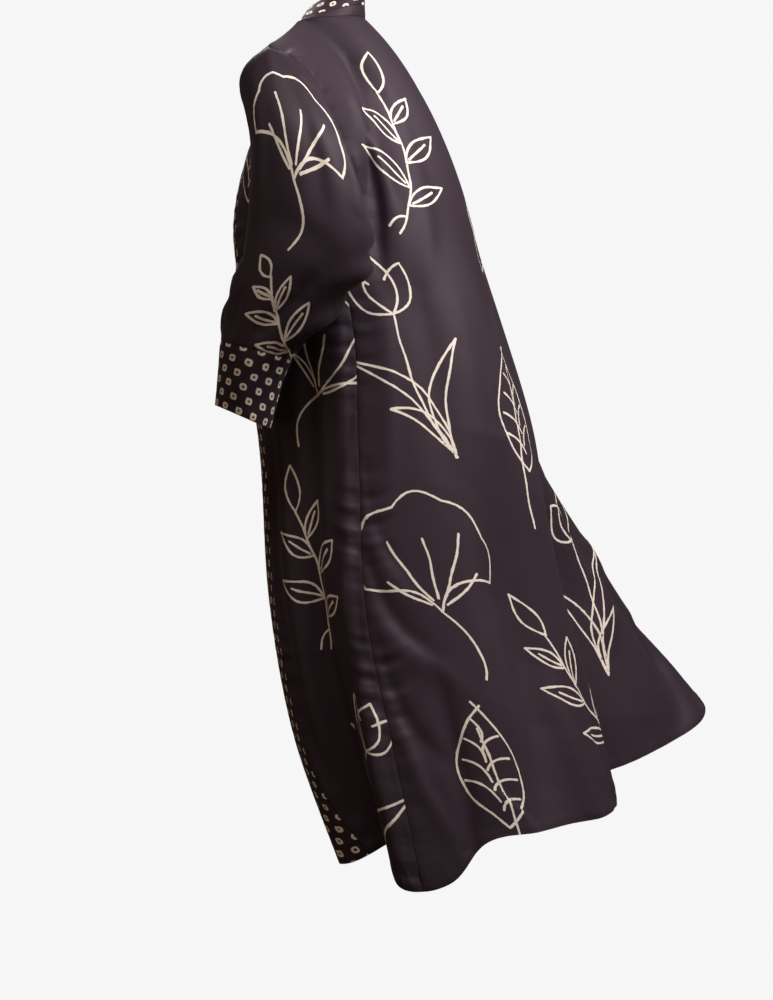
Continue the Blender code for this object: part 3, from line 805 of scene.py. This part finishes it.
BACK_CREASES = [
    Crease(0.27, 0.06, 0.12, 0.17, 0.01, 0.013, -0.0085),
    Crease(0.12, 0.12, 0.08, 0.34, 0.01, 0.012, -0.0110),
    Crease(0.23, 0.04, 0.05, 0.23, 0.01, 0.012, 0.0045),
    Crease(0.33, 0.04, 0.16, 0.36, 0.01, 0.020, 0.0045),
    Crease(0.15, 0.13, 0.03, 0.29, 0.01, 0.008, -0.0030),
    Crease(0.44, 0.10, 0.27, 0.44, 0.02, 0.040, 0.0060),
    Crease(0.46, 0.26, 0.40, 0.62, 0.02, 0.035, -0.0060),
    Crease(0.13, 0.24, 0.16, 0.60, 0.01, 0.026, -0.0050),
    Crease(0.24, 0.34, 0.24, 0.74, 0.01, 0.028, 0.0060),
    Crease(0.40, 0.48, 0.37, 1.05, 0.01, 0.034, 0.0110),
    Crease(0.29, 0.52, 0.18, 1.08, 0.02, 0.045, -0.0250),
    Crease(0.20, 0.62, 0.13, 1.03, 0.01, 0.026, 0.0080),
    Crease(0.07, 0.34, 0.05, 0.62, 0.01, 0.016, 0.0040),
    Crease(0.00, 0.50, 0.07, 0.68, -0.02, 0.013, -0.0035),
    Crease(0.00, 0.55, 0.10, 0.73, -0.02, 0.016, 0.0042),
    Crease(0.00, 0.61, 0.10, 0.78, -0.02, 0.015, -0.0045),
    Crease(0.00, 0.66, 0.13, 0.83, -0.02, 0.018, 0.0050),
    Crease(0.01, 0.73, 0.08, 0.90, -0.02, 0.014, -0.0045),
    Crease(0.01, 0.79, 0.06, 0.97, -0.01, 0.013, 0.0045),
    Crease(0.09, 0.78, 0.08, 1.04, 0.01, 0.016, -0.0070),
    Crease(0.30, 0.84, 0.30, 1.05, 0.00, 0.016, 0.0060),
    Crease(0.36, 0.80, 0.35, 1.05, 0.01, 0.014, -0.0050),
    Crease(0.55, 0.30, 0.54, 0.66, 0.01, 0.022, 0.0045),
    Crease(0.60, 0.62, 0.57, 1.02, 0.00, 0.022, -0.0060),
    Crease(0.78, 0.74, 0.58, 0.86, 0.01, 0.030, 0.0080),
    Crease(0.74, 0.86, 0.58, 1.02, 0.01, 0.034, -0.0160),
    Crease(0.66, 0.58, 0.65, 0.80, 0.01, 0.020, 0.0070),
    Crease(0.72, 0.64, 0.69, 1.04, -0.01, 0.020, -0.0080),
    Crease(0.77, 0.55, 0.76, 1.02, 0.00, 0.018, 0.0060),
    Crease(0.84, 0.42, 0.83, 1.04, 0.00, 0.024, -0.0060),
    Crease(0.91, 0.38, 0.91, 0.98, 0.00, 0.020, 0.0055),
    Crease(1.00, 0.56, 0.93, 0.74, 0.02, 0.013, -0.0050),
    Crease(1.00, 0.66, 0.91, 0.84, 0.02, 0.013, 0.0050),
    Crease(0.73, 0.05, 0.91, 0.28, -0.01, 0.012, -0.0045),
    Crease(0.77, 0.04, 0.95, 0.24, -0.01, 0.012, 0.0045),
    Crease(0.68, 0.04, 0.84, 0.38, -0.01, 0.020, 0.0045),
    Crease(0.62, 0.10, 0.72, 0.48, -0.02, 0.036, -0.0050),
]
BACK_PRINTS = [
    Print(sprig, -0.165, 0.230, 14, 1.0, False),
    Print(lily, -0.270, 0.560, -14, 1.0, False),
    Print(broad_leaf, -0.070, 0.690, 10, 0.95, True),
    Print(fan_leaf, -0.350, 0.890, 12, 1.0, False),
    Print(sprig, -0.150, 1.080, -16, 1.0, True),
    Print(broad_leaf, -0.440, 1.215, 20, 0.95, False),
    Print(fan_leaf, 0.060, 0.400, -24, 0.95, True),
    Print(lily, 0.110, 0.985, 12, 1.0, True),
    Print(broad_leaf, 0.200, 0.200, -18, 1.0, False),
    Print(sprig, 0.270, 0.640, 8, 1.0, False),
    Print(fan_leaf, 0.375, 0.985, -14, 1.0, False),
    Print(lily, 0.530, 1.165, 18, 0.95, False),
]

shares = even_shares("back", BACK_COLUMNS, 1.8)[None, :]
points = soften_yoke(body_point("back", shares, body_levels()))
points = press_creases(points, 1, BACK_CREASES)
back_flat = flat_map(points, BACK_COLUMNS // 2)
across, down = back_flat
side_gap, hem_gap = edge_gaps(back_flat)
waves = pucker(side_gap, down, 0.040, 0.0019) + pucker(hem_gap, across, 0.027, 0.0006)
points = points + waves[..., None] * outward_normals(points)
satins = [PRINT_SATIN, PRINT_REVERSE]
marks = {"hem_gap": hem_gap, "seam_gap": np.minimum(side_gap, down)}
back = lay_cloth("printed_back", points, 1, hem_wall(hem_gap), back_flat, marks, satins, BACK_PRINTS)
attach(back, "root")
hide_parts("back")

# Fronts: two narrow panels from the shoulder to the hem, sewn to the back at the side seams and
# along the bands at their free edges. The satin draws up in small waves beside the seams.

FRONT_COLUMNS = 84
FRONT_CREASES = {
    "left": [
        Crease(0.92, 0.34, 0.88, 0.66, 0.00, 0.016, 0.0060),
        Crease(0.89, 0.62, 0.83, 1.03, 0.00, 0.018, 0.0080),
        Crease(0.66, 0.36, 0.45, 0.78, 0.02, 0.018, -0.0080),
        Crease(0.52, 0.64, 0.40, 1.04, 0.02, 0.020, -0.0080),
        Crease(1.00, 0.46, 0.72, 0.60, 0.03, 0.011, -0.0040),
        Crease(1.00, 0.58, 0.70, 0.74, 0.03, 0.012, 0.0050),
        Crease(1.00, 0.68, 0.66, 0.84, 0.03, 0.012, -0.0050),
        Crease(1.00, 0.78, 0.72, 0.93, 0.02, 0.011, 0.0045),
        Crease(0.30, 0.34, 0.24, 0.90, 0.02, 0.016, 0.0050),
        Crease(0.16, 0.44, 0.14, 1.02, 0.00, 0.014, -0.0045),
        Crease(0.75, 0.04, 0.90, 0.24, 0.02, 0.012, -0.0040),
        Crease(0.50, 0.05, 0.58, 0.28, 0.02, 0.016, 0.0040),
    ],
    "right": [
        Crease(0.08, 0.34, 0.12, 0.66, 0.00, 0.016, 0.0060),
        Crease(0.12, 0.60, 0.18, 1.02, 0.00, 0.018, 0.0070),
        Crease(0.34, 0.38, 0.50, 0.80, -0.02, 0.018, -0.0070),
        Crease(0.46, 0.66, 0.58, 1.04, -0.02, 0.020, -0.0070),
        Crease(0.00, 0.48, 0.28, 0.63, -0.03, 0.011, -0.0040),
        Crease(0.00, 0.61, 0.30, 0.76, -0.03, 0.012, 0.0050),
        Crease(0.00, 0.72, 0.34, 0.88, -0.02, 0.012, -0.0045),
        Crease(0.72, 0.34, 0.76, 0.90, -0.02, 0.016, 0.0045),
        Crease(0.86, 0.44, 0.86, 1.02, 0.00, 0.013, -0.0040),
        Crease(0.25, 0.04, 0.10, 0.24, -0.02, 0.012, -0.0040),
        Crease(0.50, 0.05, 0.43, 0.30, -0.02, 0.016, 0.0040),
    ],
}
FRONT_PRINTS = {
    "left": [
        Print(broad_leaf, -0.055, 0.220, 8, 0.85, False),
        Print(fan_leaf, 0.055, 0.540, 16, 0.9, True),
        Print(sprig, -0.020, 0.850, -10, 0.95, False),
        Print(lily, 0.060, 1.165, 10, 0.9, False),
    ],
    "right": [
        Print(sprig, 0.040, 0.235, -10, 0.9, True),
        Print(lily, -0.035, 0.570, 8, 0.9, False),
        Print(fan_leaf, 0.040, 0.870, -14, 0.9, False),
        Print(broad_leaf, -0.030, 1.150, 14, 0.95, True),
    ],
}

for side in ("left", "right"):
    panel = "front_" + side
    shares = even_shares(panel, FRONT_COLUMNS, 1.7)[None, :]
    points = press_creases(body_point(panel, shares, body_levels()), 1, FRONT_CREASES[side])
    flat = flat_map(points, FRONT_COLUMNS // 2)
    across, down = flat
    side_gap, hem_gap = edge_gaps(flat)
    waves = pucker(side_gap, down, 0.037, 0.0019) + pucker(hem_gap, across, 0.026, 0.0006)
    points = points + waves[..., None] * outward_normals(points)
    marks = {"hem_gap": hem_gap, "seam_gap": np.minimum(side_gap, down)}
    wall, prints = hem_wall(hem_gap), FRONT_PRINTS[side]
    front = lay_cloth("printed_" + panel, points, 1, wall, flat, marks, satins, prints)
    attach(front, "root")
    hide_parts(panel)

# Neck stand: a plain low strip of the same satin, doubled, sewn into the back neckline. It lifts
# the dotted band off the shoulders and runs out to nothing at the neck sides.

STAND_HEIGHT = 0.019
STAND_END_HEIGHT = 0.003
SIDE_BAND_RISE = np.array([-0.80, -0.05, 0.50])
BACK_BAND_RISE = np.array([0.0, 0.05, 1.0])
COLLAR_COLUMNS = 84
STAND_ROWS = 5
DOUBLE_WALL = 0.0018


def collar_point(turn, height):
    """The back collar: stand and band rise from the back neckline."""
    middle = np.cos(turn)[..., None]
    side_rise = np.stack([SIDE_BAND_RISE[0] * np.sin(turn), 0 * turn, 0 * turn], -1)
    side_rise = side_rise + (1 - middle) * SIDE_BAND_RISE * np.array([0, 1, 1])
    return neck_point(turn) + height[..., None] * (side_rise + middle * BACK_BAND_RISE)


def stand_height(turn):
    return STAND_END_HEIGHT + (STAND_HEIGHT - STAND_END_HEIGHT) * np.sqrt(np.maximum(np.cos(turn), 0))


turn = np.linspace(np.pi / 2, -np.pi / 2, COLLAR_COLUMNS + 1)[None, :]
share = np.linspace(0, 1, STAND_ROWS + 1)[:, None]
points = collar_point(turn + 0 * share, share * stand_height(turn))
flat = flat_map(points, COLLAR_COLUMNS // 2)
across, down = flat
seam_gap = np.minimum(down, down[-1:] - down)
waves = pucker(seam_gap, across, 0.016, 0.0003)
points = points - waves[..., None] * outward_normals(points)
marks = {"hem_gap": NO_HEM_NEAR, "seam_gap": seam_gap}
stand = lay_cloth("plain_neck_stand", points, -1, DOUBLE_WALL, flat, marks, [PLAIN_SATIN])
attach(stand, "root")
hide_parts("neck_stand")

# Bands: one long strip of ring-dotted satin, folded double, that edges both fronts and stands round
# the neck. It is sewn on all along, and a row of stitches lies just inside the fold.

BAND_COLUMNS = 12
DOTTED_GROUND = (0.034, 0.021, 0.026, 1.0)
DOT_MIDDLE = (0.16, 0.075, 0.035, 1.0)
DOT_PITCH = 0.0265
ABOVE_ZERO = 8


def ring_dots():
    """Rounded dots on a half-drop grid: 1 on a dot, and 1 on its darker middle."""
    group, given, out = new_group(
        "ring_dots",
        [
            ("Flat", "Vector", None), ("Across", "Float", DOT_PITCH), ("Along", "Float", 0.040),
            ("Ring", "Float", 0.0057), ("Core", "Float", 0.0019),
        ],
        [("Dot", "Float"), ("Middle", "Float")],
    )
    apart = group.nodes.new("ShaderNodeSeparateXYZ")
    plug(group, apart.inputs[0], given["Flat"])
    uneven = math(group, "SUBTRACT", noise(group, given["Flat"], 130, 2), 0.5)
    uneven = math(group, "MULTIPLY", uneven, 0.0034)
    dots, middles = [], []
    for shift in (0.0, 0.5):
        cubes = []
        for axis, pitch in ((0, given["Across"]), (1, given["Along"])):
            cell = math(group, "DIVIDE", apart.outputs[axis], pitch)
            cell = math(group, "FRACT", math(group, "ADD", cell, shift + ABOVE_ZERO))
            from_middle = math(group, "ABSOLUTE", math(group, "SUBTRACT", cell, 0.5))
            cubes.append(math(group, "POWER", math(group, "MULTIPLY", from_middle, pitch), 3.0))
        reach = math(group, "POWER", math(group, "ADD", *cubes), 1 / 3)
        reach = math(group, "ADD", reach, uneven)
        past_ring = math(group, "SUBTRACT", reach, given["Ring"])
        dots.append(ramp(group, past_ring, -0.0006, 0.0004, 1.0, 0.0))
        past_core = math(group, "SUBTRACT", reach, given["Core"])
        middles.append(ramp(group, past_core, -0.0004, 0.0006, 1.0, 0.0))
    plug(group, out["Dot"], math(group, "MAXIMUM", *dots))
    plug(group, out["Middle"], math(group, "MAXIMUM", *middles))
    return group


RING_DOTS = ring_dots()


def dotted_satin(name):
    """The ring-dotted satin of the bands and cuffs, with a row of stitches inside the fold."""
    material, tree, shader, flat = cloth_material(name)
    weave = placed(tree, SATIN_FLOATS, Flat=flat)
    dots = placed(tree, RING_DOTS, Flat=flat)
    ring = mix(tree, dots["Middle"], CREAM, DOT_MIDDLE)
    row = FOLD_STITCH_INSET
    fold = {"Gap": mark(tree, "hem_gap"), "Run": mark(tree, "hem_run"), "Row": row}
    thread = placed(tree, STITCH_ROW, **fold)["Thread"]
    ground = mix(tree, weave["Tone"], AUBERGINE_DEEP, DOTTED_GROUND)
    colour = mix(tree, dots["Dot"], mix(tree, thread, ground, AUBERGINE), ring)
    rough = ramp(tree, weave["Tone"], 0.2, 0.8, 0.55, 0.65)
    height = math(tree, "MULTIPLY_ADD", thread, THREAD_RISE, weave["Height"])
    satin_finish(tree, shader, colour, rough, height)
    return material


DOTTED_SATIN = dotted_satin("dotted_satin")


def band_point(side, across, level):
    """A front band: across is 0 at its seam and 1 at its free edge."""
    across, level = (np.asarray(a, float) for a in np.broadcast_arrays(across, level))
    panel = "front_" + side
    left = side == "left"
    seam_share = 0.0 if left else 1.0
    seams = seam_angles(level)
    width = seams[1] - seams[0] if left else seams[3] - seams[2]
    seam = seams[0] if left else seams[3]
    height = nominal_height(level)
    reach = seam_share + across * (section_value(panel, height) - seam) / width
    skirt = body_point(panel, reach, np.maximum(level, 1))
    base = body_point(panel, np.full_like(level, seam_share), level)
    flat = skirt - body_point(panel, np.full_like(level, seam_share), np.maximum(level, 1))
    rise = SIDE_BAND_RISE * BAND_WIDTH * np.array([1 if left else -1, 1, 1])
    turned = smoothstep(0, 1, level)[..., None]
    raised = base + (1 - turned) * across[..., None] * rise + turned * flat
    return np.where((level >= 1)[..., None], skirt, raised)


def band_creases(side):
    """Soft cockles along a band, uneven in length and depth."""
    rows = [(0.30, 0.34), (0.41, 0.47), (0.55, 0.58), (0.63, 0.70), (0.78, 0.82), (0.87, 0.94)]
    lean = 0.1 if side == "left" else -0.1
    creases = []
    for index, (low, high) in enumerate(rows):
        width, depth = 0.008 + 0.002 * (index % 3), 0.0012 * (-1) ** index
        creases.append(Crease(0.0, low, 1.0, high + lean * (index % 2), 0.0, width, depth))
    return creases


for side in ("left", "right"):
    sign = -1 if side == "left" else 1
    points = band_point(side, np.linspace(0, 1, BAND_COLUMNS + 1)[None, :], body_levels())
    points = press_creases(points, sign, band_creases(side))
    flat = flat_map(points, 0)
    across, down = flat
    fold_gap = across[:, -1:] - across
    waves = pucker(across, down, 0.026, 0.0006)
    points = points + (sign * waves)[..., None] * outward_normals(points)
    marks = {"hem_gap": fold_gap, "hem_run": down, "seam_gap": across}
    name = "front_band_" + side
    band = lay_cloth("dotted_" + name, points, sign, DOUBLE_WALL, flat, marks, [DOTTED_SATIN])
    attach(band, "root")
    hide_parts(name)

share = np.linspace(0, 1, BAND_COLUMNS + 1)[:, None]
points = collar_point(turn + 0 * share, stand_height(turn) + share * BAND_WIDTH)
across, down = flat_map(points, COLLAR_COLUMNS // 2)
waves = pucker(down, across, 0.020, 0.0005)
points = points - waves[..., None] * outward_normals(points)
marks = {"hem_gap": down[-1:] - down, "hem_run": across, "seam_gap": down}
flat = down, across
collar = lay_cloth("dotted_collar_band", points, -1, DOUBLE_WALL, flat, marks, [DOTTED_SATIN])
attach(collar, "root")
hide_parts("collar_band")

# Sleeves: wide drop sleeves, sewn flat into the armholes over the edge of the shoulder. They fall
# loose to the elbow, crease at its bend and narrow to the seam of a deep dotted cuff.

SLEEVE_ROWS = 104
CUFF_ROWS = 26
ARM_COLUMNS = 112
CUFF_DOTS = 12
Ring = namedtuple("Ring", "name x y half_out half_front outer_z inner_z rear_drop inner_back")
SLEEVE_RINGS = [
    Ring("upper", 0.250, 0.052, 0.055, 0.084, -0.170, -0.375, 0.000, 0.035),
    Ring("elbow", 0.268, 0.070, 0.058, 0.098, -0.330, -0.410, 0.000, 0.015),
    Ring("forearm", 0.270, 0.034, 0.055, 0.084, -0.430, -0.470, 0.010, 0.000),
    Ring("cuff_seam", 0.262, -0.010, 0.050, 0.054, -0.515, -0.525, 0.013, 0.000),
    Ring("cuff_end", 0.250, -0.038, 0.045, 0.041, -0.613, -0.630, 0.016, 0.000),
]
RIGHT_ARM_FORWARD = 0.055
RIGHT_INNER_BACK = 2.0
SLEEVE_START_PULL = 0.4


def panel_normals(panel, share, level):
    step = 1e-4
    along = body_point(panel, share + step, level) - body_point(panel, share - step, level)
    below = body_point(panel, share, level + step) - body_point(panel, share, level - step)
    return unit(np.cross(below, along))


def arm_grid(side):
    """Sleeve and cuff in one run of rows. Columns start at the underarm and pass the front."""
    left = side == "left"
    mirror = 1 if left else -1
    count = ARM_COLUMNS // 2
    level = np.linspace(0, 1, count + 1)
    back_share, front_share = (0.0, 1.0) if left else (1.0, 0.0)
    fronts = body_point("front_" + side, front_share, level)
    backs = body_point("back", back_share, level)
    front_out = panel_normals("front_" + side, front_share, level)
    back_out = panel_normals("back", back_share, level)
    front_out[-1] = back_out[-1] = unit(front_out[-1] + back_out[-1])
    front_out[0] = back_out[0] = unit(front_out[1] + back_out[1])
    loop = np.concatenate([backs, fronts[-2:0:-1]])
    out = np.concatenate([back_out, front_out[-2:0:-1]])
    ahead = unit(np.roll(loop, -1, 0) - loop)
    into_hole = unit(np.cross(unit(ahead + np.roll(ahead, 1, 0)), out)) * mirror
    turn = 2 * np.pi * np.arange(ARM_COLUMNS) / ARM_COLUMNS
    forward = 0 if left else RIGHT_ARM_FORWARD
    inner = (1 if left else RIGHT_INNER_BACK) * (1 - np.cos(turn)) / 2
    rings = []
    for ring in SLEEVE_RINGS:
        x = ring.x + ring.half_out * np.cos(turn)
        y = ring.y - forward + ring.half_front * np.sin(turn) + ring.inner_back * inner
        middle = (ring.outer_z + ring.inner_z) / 2
        z = middle + (ring.outer_z - ring.inner_z) / 2 * np.cos(turn) - ring.rear_drop * np.sin(turn)
        rings.append(np.stack([mirror * x, y, z], -1))
    toward = rings[0] - loop
    stand_off = np.arctan2(np.sum(toward * out, -1), np.sum(toward * into_hole, -1))
    stand_off = np.clip(stand_off, 0, np.pi / 2)[:, None]
    start = loop + out * (1 - np.cos(stand_off)) * SATIN_WALL
    pull = np.linalg.norm(toward, axis=-1)[:, None] * SLEEVE_START_PULL
    pull = pull * (np.cos(stand_off) * into_hole + np.sin(stand_off) * out)
    rings = [start] + rings
    pulls = [pull] + [(after - before) / 2 for before, after in zip(rings, rings[2:])]
    pulls.append(rings[-1] - rings[-2])
    last = len(rings) - 2
    rows = []
    cuff_rows = np.linspace(last, last + 1, CUFF_ROWS + 1)[1:]
    for at in np.concatenate([np.linspace(0, last, SLEEVE_ROWS + 1), cuff_rows]):
        first = min(int(at), last)
        after = first + 1
        rows.append(hermite(at - first, rings[first], pulls[first], rings[after], pulls[after]))
    return np.roll(np.stack(rows), ARM_COLUMNS // 2, axis=1)


SLEEVE_CREASES = [
    Crease(0.96, 0.30, 0.72, 0.56, 0.03, 0.012, -0.0090),
    Crease(0.93, 0.40, 0.66, 0.68, 0.03, 0.012, 0.0085),
    Crease(0.96, 0.50, 0.68, 0.80, 0.02, 0.010, -0.0085),
    Crease(0.92, 0.60, 0.70, 0.90, 0.02, 0.010, 0.0070),
    Crease(0.90, 0.70, 0.72, 0.99, 0.01, 0.009, -0.0060),
    Crease(0.99, 0.22, 0.80, 0.42, 0.02, 0.010, 0.0070),
    Crease(0.52, 0.06, 0.59, 0.50, 0.02, 0.018, -0.0060),
    Crease(0.62, 0.04, 0.71, 0.44, 0.02, 0.015, 0.0085),
    Crease(0.72, 0.05, 0.86, 0.36, 0.02, 0.011, -0.0100),
    Crease(0.66, 0.10, 0.74, 0.30, -0.01, 0.009, -0.0040),
    Crease(0.45, 0.08, 0.41, 0.50, -0.02, 0.016, 0.0050),
    Crease(0.36, 0.06, 0.28, 0.42, -0.02, 0.014, -0.0060),
    Crease(0.26, 0.05, 0.14, 0.34, -0.02, 0.011, 0.0055),
    Crease(0.14, 0.46, 0.34, 0.58, 0.00, 0.012, -0.0050),
    Crease(0.12, 0.56, 0.32, 0.68, 0.00, 0.011, 0.0040),
    Crease(0.06, 0.50, 0.24, 0.64, 0.00, 0.010, -0.0060),
    Crease(0.20, 0.68, 0.34, 0.80, 0.01, 0.012, -0.0030),
    Crease(0.40, 0.46, 0.66, 0.60, 0.01, 0.020, -0.0035),
    Crease(0.62, 0.64, 0.54, 0.96, 0.01, 0.013, -0.0060),
    Crease(0.76, 0.74, 0.64, 0.99, 0.01, 0.011, 0.0060),
    Crease(0.40, 0.74, 0.43, 0.98, 0.00, 0.010, -0.0045),
    Crease(0.30, 0.78, 0.28, 0.98, 0.00, 0.009, 0.0045),
]
CUFF_CREASES = [
    Crease(0.70, 0.0, 0.62, 1.0, 0.0, 0.010, -0.003),
    Crease(0.55, 0.0, 0.50, 0.9, 0.0, 0.012, 0.002),
]
SLEEVE_PRINTS = {
    "left": [
        Print(fan_leaf, 0.020, 0.130, 16, 0.70, False),
        Print(sprig, 0.030, 0.325, -38, 0.62, True),
        Print(lily, -0.175, 0.235, 12, 0.75, False),
        Print(broad_leaf, 0.235, 0.270, -10, 0.75, False),
    ],
    "right": [
        Print(broad_leaf, -0.045, 0.150, 12, 0.75, False),
        Print(lily, 0.060, 0.310, -20, 0.65, True),
        Print(fan_leaf, 0.190, 0.130, 20, 0.70, False),
        Print(sprig, -0.215, 0.260, 10, 0.75, False),
    ],
}

for side in ("left", "right"):
    sign = 1 if side == "left" else -1
    arm = arm_grid(side)
    points = press_creases(arm[: SLEEVE_ROWS + 1], sign, SLEEVE_CREASES, ring=True)
    flat = flat_map(points, ARM_COLUMNS // 2)
    across, down = flat
    cuff_gap = down[-1:] - down
    waves = pucker(down, across, 0.028, 0.0007) + pucker(cuff_gap, across, 0.017, 0.0011)
    points = points + (sign * waves)[..., None] * outward_normals(points, 1, True)
    name = "sleeve_" + side
    prints = SLEEVE_PRINTS[side]
    marks = {"hem_gap": NO_HEM_NEAR, "seam_gap": np.minimum(down, cuff_gap)}
    sleeve = lay_cloth("printed_" + name, points, sign, SATIN_WALL, flat, marks, satins, prints, True)
    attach(sleeve, "root")
    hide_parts(name)

    # Cuff: a deep ring-dotted cuff, doubled, sewn to the end of the sleeve with a stitched edge.
    # Its map is stretched a little, so that a whole number of dots goes round.
    points = press_creases(arm[SLEEVE_ROWS:], sign, CUFF_CREASES, ring=True)
    across, down = flat_map(points, ARM_COLUMNS // 2)
    waves = pucker(down, across, 0.017, 0.0009)
    points = points + (sign * waves)[..., None] * outward_normals(points, 1, True)
    marks = {"hem_gap": down[-1:] - down, "hem_run": across, "seam_gap": down}
    flat = CUFF_DOTS * DOT_PITCH * (np.arange(ARM_COLUMNS) / ARM_COLUMNS - 0.5) + 0 * down, down
    name = "cuff_" + side
    dotted = [DOTTED_SATIN]
    cuff = lay_cloth("dotted_" + name, points, sign, DOUBLE_WALL, flat, marks, dotted, ring=True)
    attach(cuff, "root")
    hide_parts(name)

# Studio: a plain pale floor that runs into a surround of the same tone. Soft lights stand at the
# picture's right, in front from above and on the far side, with a weak warm fill low at the left.

CAMERA_AZIMUTH = np.radians(110)
CAMERA_DISTANCE = 4.5
CAMERA_HEIGHT = -0.55
VIEW_ACROSS = 0.0994
VIEW_HEIGHT = -0.7595
METRES_PER_PIXEL = 1.616e-3
FRAME_HEIGHT = 1000
SENSOR_HEIGHT = 24
LIT_POINT = np.array([0, 0.1, -0.4])
PALE = (0.923, 0.923, 0.923, 1.0)
FLOOR_HEIGHT = -1.52
FLOOR_REACH = 6.0
SURROUND = (1.0, 0.66, 0.46, 1.0)
SURROUND_STRENGTH = 0.06
RIGHT = np.array([np.cos(CAMERA_AZIMUTH), np.sin(CAMERA_AZIMUTH), 0])
LOOK = np.array([-np.sin(CAMERA_AZIMUTH), np.cos(CAMERA_AZIMUTH), 0])
target = VIEW_ACROSS * RIGHT + np.array([0, 0, VIEW_HEIGHT])
place = VIEW_ACROSS * RIGHT - CAMERA_DISTANCE * LOOK + np.array([0, 0, CAMERA_HEIGHT])


def aim(thing, place, target):
    """Sets a camera or a light at a place and points it at a target, upright."""
    back_axis = unit(np.asarray(place) - target)
    side_axis = unit(np.cross([0, 0, 1.0], back_axis))
    up_axis = np.cross(back_axis, side_axis)
    matrix = np.eye(4)
    matrix[:3] = np.stack([side_axis, up_axis, back_axis, place], 1)
    thing.matrix_world = matrix.T.tolist()


lens = bpy.data.cameras.new("camera")
lens.sensor_fit = "VERTICAL"
lens.sensor_height = SENSOR_HEIGHT
lens.lens = np.linalg.norm(target - place) / METRES_PER_PIXEL * SENSOR_HEIGHT / FRAME_HEIGHT
camera = bpy.data.objects.new("camera", lens)
bpy.context.scene.collection.objects.link(camera)
aim(camera, place, target)
bpy.context.scene.camera = camera


def show_to_camera(tree, others, shown, surface):
    """Gives the camera one shader and all other rays another."""
    seen = tree.nodes.new("ShaderNodeLightPath")
    both = tree.nodes.new("ShaderNodeMixShader")
    tree.links.new(seen.outputs["Is Camera Ray"], both.inputs[0])
    tree.links.new(others.outputs[0], both.inputs[1])
    tree.links.new(shown.outputs[0], both.inputs[2])
    tree.links.new(both.outputs[0], surface)


corners = [(-1, -1), (1, -1), (1, 1), (-1, 1)]
corners = [(x * FLOOR_REACH, y * FLOOR_REACH, FLOOR_HEIGHT) for x, y in corners]
floor_mesh = bpy.data.meshes.new("floor")
floor_mesh.from_pydata(corners, [], [(0, 1, 2, 3)])
floor_paint = bpy.data.materials.new("pale_floor")
floor_paint.use_nodes = True
tree = floor_paint.node_tree
tree.nodes.remove(tree.nodes["Principled BSDF"])
clear = tree.nodes.new("ShaderNodeBsdfTransparent")
paint = tree.nodes.new("ShaderNodeEmission")
paint.inputs["Color"].default_value = PALE
show_to_camera(tree, clear, paint, tree.nodes["Material Output"].inputs["Surface"])
floor_mesh.materials.append(floor_paint)
floor = bpy.data.objects.new("floor", floor_mesh)
bpy.context.scene.collection.objects.link(floor)

Light = namedtuple("Light", "name right look height size power colour")
LIGHTS = [
    Light("key", 1.3, -0.9, 1.00, 1.2, 50, (1.0, 0.95, 0.98)),
    Light("front", -0.5, -1.7, 2.4, 1.4, 27, (1.0, 0.96, 0.97)),
    Light("fill", -2.4, -2.2, -0.6, 2.4, 4, (1.0, 0.66, 0.42)),
    Light("far_side", -0.8, 4.5, 3.0, 1.6, 160, (1.0, 0.95, 0.93)),
]
for row in LIGHTS:
    lamp = bpy.data.lights.new(row.name, "AREA")
    lamp.shape = "DISK"
    lamp.size = row.size
    lamp.energy = row.power
    lamp.color = row.colour
    light = bpy.data.objects.new(row.name, lamp)
    bpy.context.scene.collection.objects.link(light)
    spot = row.right * RIGHT + row.look * LOOK + np.array([0, 0, row.height])
    aim(light, spot, LIT_POINT)

world = bpy.data.worlds.new("studio")
bpy.context.scene.world = world
world.use_nodes = True
tree = world.node_tree
surround = tree.nodes["Background"]
surround.inputs["Color"].default_value = SURROUND
surround.inputs["Strength"].default_value = SURROUND_STRENGTH
backdrop = tree.nodes.new("ShaderNodeBackground")
backdrop.inputs["Color"].default_value = PALE
show_to_camera(tree, surround, backdrop, tree.nodes["World Output"].inputs["Surface"])
bpy.context.scene.view_settings.view_transform = "Standard"
